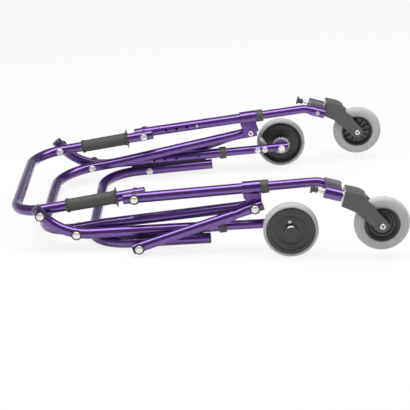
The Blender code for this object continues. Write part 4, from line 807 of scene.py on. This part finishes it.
# Lower leg: straight in the leg, an arc tangent to both runs, then straight along the caster's stem
def lowerLegPath(sign):
    start = frontLeg["buttonS"] - frontLeg["pitch"] - 0.012
    holes = frontLeg["buttonS"] + (np.arange(4) - 1) * frontLeg["pitch"]
    before, radius = frontWay(sign), caster["bendRadius"]
    corner = frontPoint(caster["cornerS"], sign)
    turn = math.acos(float(np.dot(before, stemWay)))
    back = radius * math.tan(turn / 2)
    across = unit(stemWay - before * np.dot(before, stemWay))
    centre = corner - before * back + across * radius
    angle = np.linspace(0.0, turn, 16)[:, None]
    bend = centre - across * radius * np.cos(angle) + before * radius * np.sin(angle)
    s = rowsWithHoles(start, caster["cornerS"] - back / math.hypot(1.0, frontLeg["splay"]), holes)[:-1]
    end = corner + stemWay * (caster["stemBelow"] + caster["tubeEnd"])
    return np.concatenate((frontPoint(s, sign), bend, end[None])), holes


def makeLowerLeg(sign):
    path, holes = lowerLegPath(sign)
    cutters = holeCutters(frontPoint(holes, sign, -innerRadius), frontLeg["holeRadius"], 0.010)
    addPiece("frontLowerLeg*", [tubeShell(path, "inner")], "innerMauve", "front_extension_*", sign,
             "front_extension_*", cutters=cutters)


# Caster head: a closed sleeve on the lower leg's end, a flat-topped web, and the stem's upright housing
def makeCasterHead(sign):
    body, y, length = "front_extension_*", sign * caster["halfWidth"], caster["saddleLength"]
    sleeveEnd = lowerLegPath(sign)[0][-1] + stemWay * 0.0025
    sleeveStart = sleeveEnd - stemWay * length
    outer, bore = innerRadius + caster["saddleWall"], innerRadius + clearance
    sleeve = roundedLine([(0.0, length), (outer, length), (outer, 0.0), (bore, 0.0), (bore, length - 0.0022),
                          (0.0, length - 0.0022)], (0, 0.0014, 0.0014, 0.0006, 0, 0), closed=False)
    middle = -caster["crownGap"] - caster["housingLength"] / 2
    web = roundedLine([(middle - 0.0192, 0.0132), (middle + 0.0192, 0.0132), (middle + 0.0192, -0.0040),
                       (middle - 0.0192, -0.0040)], (0.0016, 0.0016, 0.004, 0.004))
    ends = sorted((sign * (abs(float(sleeveEnd[1])) - 0.004), y))
    # The web's greyed purple paints the reflection of the backdrop on its flat top
    addPiece("casterHead*", [plateShell(web, *ends, 0.0010, place=stemPoints)], "castMauvePaintedReflection", body, sign,
             "caster_head_*")
    addPiece("casterSleeve*", [turnedShell(sleeve, sleeveStart, stemWay, 56)], "innerMauve", body, sign)
    top = stemPoints(housingTop, 0.0, y)
    radius, long, roof = caster["housingRadius"], caster["housingLength"], caster["roofBore"]
    stemBore = caster["stemRadius"] + clearance
    housing = [(stemBore, long), (radius - 0.0006, long), (radius, long - 0.0012), (radius, 0.0012),
               (radius - 0.0012, 0.0), (pinBore, 0.0), (pinBore, roof), (stemBore, roof)]
    housing = roundedLine(housing, 0.0005, steps=4)
    addPiece("stemHousing*", [turnedShell(housing, top, stemWay, 56)], "innerMauve", body, sign)
    neck, wide = caster["neck"], caster["neckRadius"]
    shape = [(wide, 0.0), (wide + 0.0016, 0.0), (wide + 0.0016, -0.0034), (wide, -0.0040), (wide, -0.0072),
             (wide - 0.0008, -0.0078), (wide - 0.0008, -0.0100), (wide, -0.0106), (wide, -neck + 0.0006),
             (wide - 0.0008, -neck), (pinBore, -neck), (pinBore, 0.0)]
    shape = roundedLine(shape, 0.0003, steps=3)
    addPiece("lockNeck*", [turnedShell(shape, top, stemWay)], "nickel", body, sign)
    screwPlace = (sleeveStart + sleeveEnd) / 2 + np.array((0.0, -sign * (outer - 0.0012), 0.0))
    ring = roundedLine([(0.0, 0.0008), (0.0022, 0.0008), (0.0026, 0.0022), (0.0046, 0.0022), (0.0050, 0.0),
                        (0.0, 0.0)], (0, 0.0003, 0.0005, 0.0008, 0, 0), closed=False, steps=4)
    addPiece("clampScrew*", [turnedShell(ring, screwPlace, -widthWay * sign, 32)], "nickel", body, sign)


# Pull knob: a pin in the stem's line, a round grip and a flat flared rim
def makePullKnob(sign):
    low = housingTop + caster["roofBore"] + 0.0010 - 0.0006
    foot = low - housingTop + caster["neck"] + pivotGap
    rim = foot + pullKnob["length"]
    top = rim + pullKnob["flange"]
    wide, flange, pin = pullKnob["radius"], pullKnob["flangeRadius"], pullKnob["pinRadius"]
    line = [(0.0, top - 0.0006), (flange * 0.6, top - 0.0003), (flange - 0.0006, top), (flange, top - 0.0010),
            (flange - 0.0004, rim + 0.0016), (wide - 0.0004, rim - 0.0012), (wide - 0.0006, foot + 0.0050),
            (wide, foot + 0.0042), (wide, foot + 0.0008), (wide - 0.0010, foot), (pin, foot), (pin, 0.0),
            (0.0, 0.0)]
    soft = (0, 0.002, 0.0004, 0.0004, 0.0012, 0.0022, 0.001, 0.0005, 0.0008, 0.0006, 0, 0, 0)
    line = roundedLine(line, soft, closed=False)
    knob = turnedShell(line, stemPoints(low, 0.0, sign * caster["halfWidth"]), -stemWay, 48)
    addPiece("pullKnob*", [knob], "darkMoulding", "swivel_lock_*", sign, "swivel_plunger_*")


# Fork: one moulded channel, its side outline rounded at both faces, hollowed between the blades; its axle
# has a socket head on both sides, with a dark six-sided disc on each socket's floor as painted shade
def makeFork(sign):
    body, y = "fork_*", sign * caster["halfWidth"]
    blade = arcLine(axlePlace, caster["bladeEnd"], 57.6, -116.0, 14)
    roof, crown, gap = caster["roof"], caster["crownThick"], caster["forkGap"] / 2
    outline = np.concatenate((((0.0, 0.0205), (0.020, 0.0217), (0.0345, 0.0213), (0.0470, 0.0172),
                               (0.0520, 0.0108)), blade,
                              ((0.0494, -0.031), (0.041, -0.026), (0.0326, -0.023), (0.012, -0.0195),
                               (0.0, -0.018))))
    soft = np.concatenate(((0.0022, 0.005, 0.004, 0.003, 0.003, 0.004), np.full(len(blade) - 1, 0.0006),
                           (0.008, 0.005, 0.005, 0.006, 0.0022)))
    hollow = [(crown, 0.0205 - roof), (0.020, 0.0217 - roof), (0.0335, 0.0213 - roof),
              (0.0450, 0.0172 - roof), (0.053, 0.0060), (0.056, 0.020), (0.14, 0.0), (0.14, -0.07),
              (0.05, -0.07), (0.012, -0.040), (crown, -0.040)]
    hollow = roundedLine(hollow, (0.003, 0.004, 0.004, 0.004, 0.002, 0.002, 0, 0, 0, 0, 0), steps=5)
    half = gap + caster["blade"]
    channel = plateShell(roundedLine(outline, soft), y - half, y + half, 0.0026, 7, stemPoints)
    addPiece("casterFork*", [channel], "forkMoulding", body, sign, "caster_fork_*", crease=40.0,
             cutters=[plateShell(hollow, y - gap, y + gap, 0.0012, place=stemPoints)])
    base = stemPoints(0.0, 0.0, y)
    stemLength = caster["crownGap"] + caster["housingLength"] - caster["roofBore"] - 0.0010
    stem = [(0.0, -stemLength), (caster["stemRadius"], -stemLength), (caster["stemRadius"], 0.0035),
            (0.0, 0.0035)]
    stem = roundedLine(stem, (0, 0.0008, 0, 0), closed=False, steps=4)
    washer = washerLine(caster["stemRadius"], 0.0118, -caster["crownGap"] + 0.0005, 0.0)
    plate = roundedLine([(0.0196, 0.0185), (0.0196, -0.0162), (-0.0196, -0.0162), (-0.0196, 0.0185)], 0.003,
                        steps=5)

    def crownPlace(across, w, depth):
        return stemPoints(depth, w, y + across)

    shells = [turnedShell(stem, base, stemWay), turnedShell(washer, base, stemWay),
              plateShell(plate, -0.0016, 0.0006, 0.0003, 3, crownPlace)]
    addPiece("forkStem*", shells, "nickel", body, sign)
    half = half + clearance
    floor = half + 0.0042 * 0.45
    axle = headLine(half, 0.0068, 0.0042, 0.0026) + shaftLine(half, 0.0)
    # The socket disc is a dark sheet on each socket's floor: painted shade
    for name, line, steps, look, covers in (
            ("frontAxle*", axle, 36, "nickel", "front_axle_*"),
            ("frontAxleSocket*", discLine(0.0025, floor + 0.0003, floor), 6, "blackWasher", "")):
        shells = [turnedShell(line, stemPoints(*axlePlace, y), widthWay * way, steps)
                  for way in (sign, -sign)]
        addPiece(name, shells, look, body, sign, covers)


# Wheels

wheel = {"radius": 0.06347, "frontRim": 0.0415, "rearRim": 0.0560, "frontWidth": 0.0290, "rearWidth": 0.0300,
         "rearY": 0.3290, "ribPitch": 0.0034, "ribDepth": 0.00036, "frontRibs": 12, "hubBore": 0.0041,
         "capRise": 0.0085}
hubBore = wheel["hubBore"]


# Tyre section: half width as a smooth curve of the radius, with fine rings moulded on the side walls, whose
# depth is kept as an attribute that paints shade into them, darker where deeper
def addTyre(end, rim, half, shares, widths, ribShare, base, sign):
    share = 1 - (1 - np.linspace(0.0, 1.0, 64)) ** 1.5
    window = np.linspace(-0.06, 0.06, 13)[:, None]
    spread = np.interp(share + window * (1 - share), shares, widths).mean(axis=0)
    radius = rim + (wheel["radius"] - rim) * share
    groove = 0.5 - 0.5 * np.cos(2 * np.pi * (radius - rim) / wheel["ribPitch"])
    fade = np.clip((0.90 - share) * 8.0, 0.0, 1.0) * np.clip(share * 14.0, 0.0, 1.0)
    upper = half * spread - wheel["ribDepth"] * ribShare * groove * fade
    crown = np.linspace(upper[-1], -upper[-1], 7)[1:-1]
    line = np.stack((np.concatenate((radius, np.full(5, wheel["radius"]), radius[::-1])),
                     np.concatenate((upper, crown, -upper[::-1]))), axis=-1)
    depth = np.concatenate((groove * fade, np.zeros(5), (groove * fade)[::-1]))
    tyre = addPiece(end + "Tyre*", [turnedShell(line, base, widthWay * sign, 128)], "wheelRubber",
                    end + "_wheel_*", sign, end + "_tyre_*")
    # The rings' depth, kept for the painted shade in the grooves
    rings = tyre.data.attributes.new("ringShadeDepth", "FLOAT", "POINT")
    rings.data.foreach_set("value", (np.repeat(depth, 128) * ribShare).astype(np.float32))


# Front hub: a rim, a web with raised rings on its outer face and spokes behind, and a sleeve on the axle
def makeFrontWheel(sign):
    base = stemPoints(*axlePlace, sign * caster["halfWidth"])
    shares = (0.0, 0.12, 0.35, 0.55, 0.72, 0.84, 0.93, 1.0)
    widths = (0.86, 0.93, 1.0, 0.97, 0.86, 0.70, 0.48, 0.18)
    addTyre("front", wheel["frontRim"], wheel["frontWidth"] / 2, shares, widths, 1.0, base, sign)
    half = caster["forkGap"] / 2 - pivotGap
    rim = wheel["frontRim"] - clearance
    edge = wheel["frontWidth"] * 0.45
    sleeve = [(hubBore, half), (0.0095, half), (0.0108, half - 0.0010)]
    border = [(0.0374, edge - 0.0004), (0.0390, edge), (rim, edge)]
    upper = [(0.0112, 0.0042), (0.0158, 0.0042), (0.0174, 0.0065), (0.0192, 0.0065), (0.0198, 0.0042),
             (0.0232, 0.0042), (0.0250, 0.0068), (0.0268, 0.0068), (0.0274, 0.0046), (0.0306, 0.0046),
             (0.0336, 0.0088), (0.0366, 0.0100)]
    lower = [(0.0112, 0.0040), (0.0180, 0.0034), (0.0240, 0.0034), (0.0300, 0.0034), (0.0336, 0.0040),
             (0.0348, 0.0090), (0.0366, 0.0096)]
    behind = [(radius, -height) for radius, height in reversed(sleeve + lower + border)]
    line = roundedLine(sleeve + upper + border + behind, 0.0009, steps=5)
    steps = 288
    angle = 2 * np.pi * np.arange(steps) / steps
    radius, height = line[:, :1], line[:, 1:]
    rib = np.clip((np.cos(wheel["frontRibs"] * angle) - 0.93) * 30.0, 0.0, 1.0)
    inWeb = np.clip((radius - 0.0114) * 900, 0, 1) * np.clip((0.0336 - radius) * 900, 0, 1)
    rise = np.where((np.abs(height) < 0.0060) & (height < 0.0), -0.0066 * rib * inWeb, 0.0)
    hub = turnedShell(line, base, widthWay * sign, steps, rise=rise)
    addPiece("frontHub*", [hub], "wellMoulding", "front_wheel_*", sign, "front_hub_*")


# Rear lower legs, ratchets and wheels

rearLower = {"end": 0.0180, "pitch": 0.0290, "pawlBack": 0.0440, "screwBack": 0.0630, "axleNut": 0.0065,
             "holeRadius": 0.0034}
ratchet = {"radius": 0.0235, "root": 0.0178, "teeth": 24, "thick": 0.0030, "offset": 0.0030,
           "pawlWidth": 0.0080}
ratchetY = float(rearLegY(rearAxleU)) + innerRadius + ratchet["offset"]


def makeRearLower(sign):
    body = "rear_extension_*"
    holes = (rearLeg["buttonU"] - rearLower["pitch"], rearLeg["buttonU"])
    path = rearPoint(rowsWithHoles(holes[0] - 0.012, rearAxleU + rearLower["end"], holes), sign)
    cutters = holeCutters(rearPoint(holes, sign, -innerRadius), rearLower["holeRadius"], 0.010)
    addPiece("rearLowerLeg*", [tubeShell(path, "inner")], "innerMauve", body, sign, body, cutters=cutters)
    tubeY = float(rearLegY(rearAxleU))
    inner = tubeY - innerRadius - pivotGap
    face = tubeY + innerRadius + pivotGap
    hubOuter = wheel["rearY"] + wheel["rearWidth"] / 2 - 0.004
    nutLow = inner - rearLower["axleNut"]
    axle = [(0.0, hubOuter + 0.006), (0.0065, hubOuter + 0.006), (0.0065, hubOuter + 0.0008),
            (shaft, hubOuter + 0.0008), (shaft, nutLow - 0.0034), (0.0034, nutLow - 0.0040),
            (0.0, nutLow - 0.0040)]
    nut = roundedLine([(0.0, inner - 0.0012), (0.0096, inner - 0.0012), (0.0096, nutLow + 0.0012),
                       (0.0082, nutLow), (0.0, nutLow)], 0.0003, closed=False, steps=3)
    parts = ((axle, 40), (nut, 6), (washerLine(shaft, 0.0065, face, face + 0.0012), 40),
             (washerLine(shaft, 0.0082, inner - 0.0012, inner), 40))
    shells = [spun(line, (rearAxleU, 0.0), sign, steps) for line, steps in parts]
    addPiece("rearAxle*", shells, "nickel", body, sign, "rear_axle_*")
    screwU = rearAxleU - rearLower["screwBack"]
    inner = float(rearLegY(screwU)) - innerRadius
    line = headLine(-inner, 0.0077, 0.0040) + shaftLine(-inner, -inner - 0.004, 0.0026)
    addPiece("springScrew*", [spun(line, (screwU, 0.0), -sign, 36)], "nickel", body, sign)


# Rear hub: a closed dished cover with shallow rings and a round cap outside, a deep dark well inside; beside
# it the ratchet, whose outline steps from root to tip radius at each tooth
def makeRearWheel(sign):
    body, half = "rear_wheel_*", wheel["rearWidth"] / 2
    base = sidePoints(rearAxleU, 0.0, sign * wheel["rearY"])
    shares = (0.0, 0.20, 0.35, 0.60, 0.78, 0.92, 1.0)
    widths = (0.86, 0.96, 1.0, 0.94, 0.84, 0.70, 0.56)
    addTyre("rear", wheel["rearRim"], half, shares, widths, 0.6, base, sign)
    rim = wheel["rearRim"] - clearance
    step = half - 0.004
    inside = ratchetY + ratchet["thick"] + clearance - wheel["rearY"]
    line = [(0.0, half - 0.0030), (0.0070, half - 0.0030), (0.0118, half - 0.0029),
            (0.0140, half - 0.0029), (0.0150, half - 0.0029), (0.0170, half - 0.0028),
            (0.0300, half - 0.0030), (0.0330, half - 0.0016), (0.0350, half - 0.0016),
            (0.0362, half - 0.0028), (0.0450, half - 0.0018), (0.0470, half - 0.0004),
            (0.0520, half + 0.0002), (rim - 0.0010, half - 0.0002), (rim, half - 0.0022),
            (rim, -half * 0.86), (rim - 0.0022, -half * 0.90), (rim - 0.0040, -half * 0.80),
            (rim - 0.0055, -half * 0.30), (rim - 0.0090, -0.0016), (0.0300, 0.0), (0.0140, 0.0),
            (0.0122, inside + 0.0006), (0.0110, inside), (hubBore, inside), (hubBore, step),
            (0.0080, step), (0.0080, step + 0.0068), (0.0, step + 0.0068)]
    soft = np.full(len(line), 0.0012)
    soft[[0, 24, 25, 26, 27, 28]] = 0.0
    low, high = half - 0.0034, half + wheel["capRise"]
    cap = [(0.0, high - 0.0006), (0.0124, high - 0.0006), (0.0124, low), (0.0, low)]
    ring = [(0.0125, low), (0.0125, high), (0.0130, high), (0.0155, high - 0.0036), (0.0155, low)]
    line = roundedLine(line, soft, closed=False, steps=5)
    cap = roundedLine(cap, (0, 0.0006, 0, 0), closed=False, steps=4)
    ring = roundedLine(ring, (0, 0.0003, 0.0004, 0.0006, 0), steps=4)
    for name, profile, steps, look, covers in (("rearHub*", line, 128, "hubMoulding", "rear_hub_*"),
                                               ("hubCap*", cap, 72, "hubMoulding", ""),
                                               ("hubCapRing*", ring, 96, "capMoulding", "")):
        addPiece(name, [turnedShell(profile, base, widthWay * sign, steps)], look, body, sign, covers)
    screw = sidePoints(rearAxleU - 0.0015, 0.0215, sign * (wheel["rearY"] + half - 0.0032))
    head = headLine(0.0, 0.0040, 0.0026, 0.0013) + shaftLine(0.0, -0.004, 0.0015)
    addPiece("hubScrew*", [turnedShell(head, screw, widthWay * sign, 28)], "nickel", body, sign)
    tooth = np.arange(ratchet["teeth"])[:, None]
    angle = (np.array((0.0, 0.46, 0.54)) + tooth) * 2 * np.pi / ratchet["teeth"]
    radius = np.array((ratchet["root"], ratchet["radius"] - 0.0003, ratchet["radius"]))
    u = rearAxleU + (radius * np.cos(angle)).ravel()
    outline = np.stack((u, (radius * np.sin(angle)).ravel()), axis=-1)
    ends = sorted((sign * ratchetY, sign * (ratchetY + ratchet["thick"])))
    addPiece("ratchetWheel*", [plateShell(outline, *ends, 0.0002, 3)], "toothZinc", body, sign,
             "ratchet_wheel_*", crease=28.0)
    wide = ratchet["root"] + 0.0004
    face = roundedLine([(hubBore, 0.0), (hubBore, 0.0005), (wide, 0.0005), (wide, 0.0)], 0.0002, steps=3)
    addPiece("ratchetFace*", [turnedShell(face, sidePoints(rearAxleU, 0.0, sign * ratchetY), widthWay * -sign,
                                          64)], "ratchetMauve", body, sign)


# Pawl: a flat lever whose tip points at the ratchet's teeth, on a pin with a round head inboard
def makePawl(sign):
    u = rearAxleU - rearLower["pawlBack"]
    tip = rearAxleU - ratchet["radius"] - 0.0008
    half = ratchet["pawlWidth"] / 2
    outline = [(u - 0.0045, -0.0012), (u - 0.0015, -half), (tip, -half), (tip, 0.0010), (u + 0.0080, half),
               (u - 0.0050, 0.0262), (u - 0.0085, 0.0282), (u - 0.0125, 0.0262), (u - 0.0080, 0.0060)]
    outline = roundedLine(outline, (0.003, 0.003, 0.0004, 0.0004, 0.004, 0.002, 0.002, 0.002, 0.005))
    ends = sorted((sign * ratchetY, sign * (ratchetY + ratchet["thick"])))
    inner = float(rearLegY(u)) - innerRadius - clearance
    line = headLine(-inner, 0.0077, 0.0040) + shaftLine(-inner, -ratchetY - 0.0015, 0.0021)
    addPiece("pawl*", [plateShell(outline, *ends, 0.0004, 3), spun(line, (u, 0.0), -sign, 36)], "nickel",
             "pawl_*", sign, "ratchet_pawl_*")


# Telescoping brace

brace = {"rearY": 0.2965, "frontY": 0.3035, "tail": 0.0160, "rodTail": 0.0200, "tubeEnd": 0.0500,
         "overlap": 0.1650}


def bracePoint(s, sign):
    first, second = pivots["brace"], pivots["bracket"]
    du, dv = headingOf(first, second)
    y = brace["rearY"] + (brace["frontY"] - brace["rearY"]) * s / math.dist(first, second)
    return sidePoints(first[0] + s * du, first[1] + s * dv, sign * y)


def makeBrace(sign):
    reach = math.dist(pivots["brace"], pivots["bracket"])
    path = bracePoint(np.linspace(-brace["tail"] + plug["rise"], reach - brace["tubeEnd"], 14), sign)
    addPiece("braceTube*", [tubeShell(path, "brace")], "frameMauve", "brace_tube_*", sign, "brace_tube_*")
    addPiece("braceTubePlug*", [plugShell(path, "brace")], "darkMoulding", "brace_tube_*", sign)
    flatStart = reach - middleBar["flatReach"]
    s = np.concatenate((np.linspace(reach - brace["tubeEnd"] - brace["overlap"], flatStart - 0.03, 10),
                        np.linspace(flatStart - 0.024, reach + brace["rodTail"] - plug["rise"], 18)))
    squeeze, swell = pressedEnd(s, flatStart, "rod")
    path = bracePoint(s, sign)
    rod = tubeShell(path, "rod", squeeze=squeeze, swell=swell)
    addPiece("braceRod*", [rod], "innerMauve", "brace_rod_*", sign, "brace_rod_*")
    points, faces = plugShell(path[::-1], "rod")
    points = path[-1] + (points - path[-1]) * np.array((swell[-1], squeeze[-1], swell[-1]))
    addPiece("braceRodPlug*", [(points, faces)], "darkMoulding", "brace_rod_*", sign)
    face = brace["frontY"] + middleBar["flat"] / 2
    capBolt("braceFrontBolt*", "braceFrontWasher*", pivots["bracket"], face, 0.0006, "brace_rod_*", sign)


# Building the walker

makeLowerBar()
makeSaddleShadeRail(1)
makeSaddleShadeRail(-1)
makeHandle()
makeMiddleBar()
print("bars made")
for sign in (1, -1):
    for make in (makeRearLeg, makeGrip, makeRearBolts, makeFrontLeg, makeBracket, makeLowerLeg,
                 makeCasterHead, makePullKnob, makeFork, makeFrontWheel, makeRearLower, makeRearWheel,
                 makePawl, makeBrace, makeButtons):
        make(sign)
    print("side made:", sideNames[sign])


# Studio: pale floor, white backdrop, one long overhead lamp and two soft fills

studio = {"floorTones": (0.80, 0.83), "floorLift": 0.84, "floorShine": 0.12, "ambient": 0.47,
          "floorRadius": 9.0, "shadeRadius": 7.0, "backdrop": 0.66, "dim": 0.22}
lamps = {
    "overheadStrip": {"place": (0.0, -0.30, 2.1), "turn": (0.0, 0.0, 0.0), "size": (3.4, 1.30),
                      "watts": 54.0},
    "frontFill": {"place": (-1.6, -3.0, 1.9), "turn": (60.0, 0.0, -28.0), "size": (1.8, 1.2),
                  "watts": 16.0},
    "rearFill": {"place": (1.2, 3.2, 1.9), "turn": (-60.0, 0.0, -20.0), "size": (1.8, 1.2),
                 "watts": 12.0},
}


# 1 for light rays of any of the given kinds, else 0
def rayShare(tree, *kinds):
    path = addNode(tree, "LightPath")
    share = (path, "Is " + kinds[0] + " Ray")
    for kind in kinds[1:]:
        share = (addNode(tree, "Math", share, (path, "Is " + kind + " Ray"), operation="MAXIMUM"), 0)
    return share


# Round floor: rings of points out from the middle
def makeFloor():
    wide = studio["floorRadius"]
    profile = [(0.0, 0.0)] + [(radius, 0.0) for radius in np.linspace(0.05, wide, 24)] \
        + [(wide, -0.01), (0.0, -0.01)]
    floor = buildMesh("floor", [turnedShell(profile, (0.0, 0.0, -0.0004), (0.0, 0.0, 1.0), 96)])
    material, tree = newMaterial("paleFloor")
    grain = addNode(tree, "Group", node_tree=surfaceGrain, Scale=60.0, Mix=0.5)
    tones = mixTones(tree, (grain, "Tone"), *(opaque(tone) for tone in studio["floorTones"]))
    shader = setNode(tree, tree.nodes["Principled BSDF"], Base_Color=tones, Roughness=0.85,
                     Specular_IOR_Level=0.1)
    glow = addNode(tree, "Emission", Strength=1.0)
    seen = addNode(tree, "Math", rayShare(tree, "Camera"), studio["floorLift"], operation="MULTIPLY")
    share = addNode(tree, "Math", rayShare(tree, "Glossy", "Transmission"), studio["floorShine"], (seen, 0),
                    operation="MULTIPLY_ADD")
    blend = addNode(tree, "MixShader", (share, 0), (shader, "BSDF"), (glow, "Emission"))
    setNode(tree, tree.nodes["Material Output"], Surface=(blend, "Shader"))
    floor.data.materials.append(material)


# Studio shade: a half dome that only reflections see. Its low part behind the object is a pale backdrop,
# and the rest is dim, so that the tubes keep dark lines beside their highlights
def makeShade():
    radius = studio["shadeRadius"]
    height = np.radians(np.linspace(90.0, 1.0, 24))
    outer = [(0.0, radius)] + [(radius * math.cos(a), radius * math.sin(a)) for a in height[1:]]
    inner = [(0.99 * r, 0.99 * h) for r, h in reversed(outer)]
    shade = buildMesh("studioShade", [turnedShell(outer + inner, (0.0, 0.0, 0.0), (0.0, 0.0, 1.0), 48)])
    material, tree = newMaterial("studioShade")
    tree.nodes.remove(tree.nodes["Principled BSDF"])
    split = addNode(tree, "SeparateXYZ", Vector=(addNode(tree, "TexCoord"), "Object"))
    behind = addNode(tree, "MapRange", interpolation_type="SMOOTHSTEP", Value=(split, "Y"), From_Min=0.0,
                     From_Max=4.0, To_Min=0.0, To_Max=studio["backdrop"] - studio["dim"])
    low = addNode(tree, "MapRange", interpolation_type="SMOOTHSTEP", Value=(split, "Z"), From_Min=1.0,
                  From_Max=2.9, To_Min=1.0, To_Max=0.0)
    total = addNode(tree, "Math", (behind, "Result"), (low, "Result"), studio["dim"],
                    operation="MULTIPLY_ADD")
    glow = addNode(tree, "Emission", Strength=(total, 0))
    setNode(tree, tree.nodes["Material Output"], Surface=(glow, "Emission"))
    shade.data.materials.append(material)
    for ray in ("camera", "diffuse", "transmission", "volume_scatter", "shadow"):
        setattr(shade, "visible_" + ray, False)


def makeWorld():
    world = bpy.data.worlds.new("whiteBackdrop")
    world.use_nodes = True
    tree = world.node_tree
    white = (1.0, 1.0, 1.0, 1.0)
    soft = setNode(tree, tree.nodes["Background"], Color=white, Strength=studio["ambient"])
    seen = addNode(tree, "Background", Color=white, Strength=1.0)
    share = rayShare(tree, "Camera", "Glossy", "Transmission")
    blend = addNode(tree, "MixShader", share, (soft, "Background"), (seen, "Background"))
    setNode(tree, tree.nodes["World Output"], Surface=(blend, "Shader"))
    bpy.context.scene.world = world


def placeObject(name, data, settings, turn):
    obj = bpy.data.objects.new(name, data)
    obj.location = settings["place"]
    obj.rotation_euler = turn
    bpy.context.scene.collection.objects.link(obj)
    return obj


def makeLamps():
    for name, lamp in lamps.items():
        light = bpy.data.lights.new(name, "AREA")
        light.shape = "RECTANGLE"
        light.size, light.size_y = lamp["size"]
        light.energy = lamp["watts"]
        obj = placeObject(name, light, lamp, [math.radians(angle) for angle in lamp["turn"]])
        obj.visible_glossy = name == "overheadStrip"


cameraFit = {"place": (0.08145, -3.71447, 1.35596), "turn": (1.222825, 0.037262, 0.009865), "lens": 139.083}


def makeCamera():
    data = bpy.data.cameras.new("photoCamera")
    data.sensor_width = 36.0
    data.lens = cameraFit["lens"]
    bpy.context.scene.camera = placeObject("photoCamera", data, cameraFit, cameraFit["turn"])


makeFloor()
makeShade()
makeWorld()
makeLamps()
makeCamera()
bpy.context.scene.view_settings.view_transform = "Standard"
print("studio made")
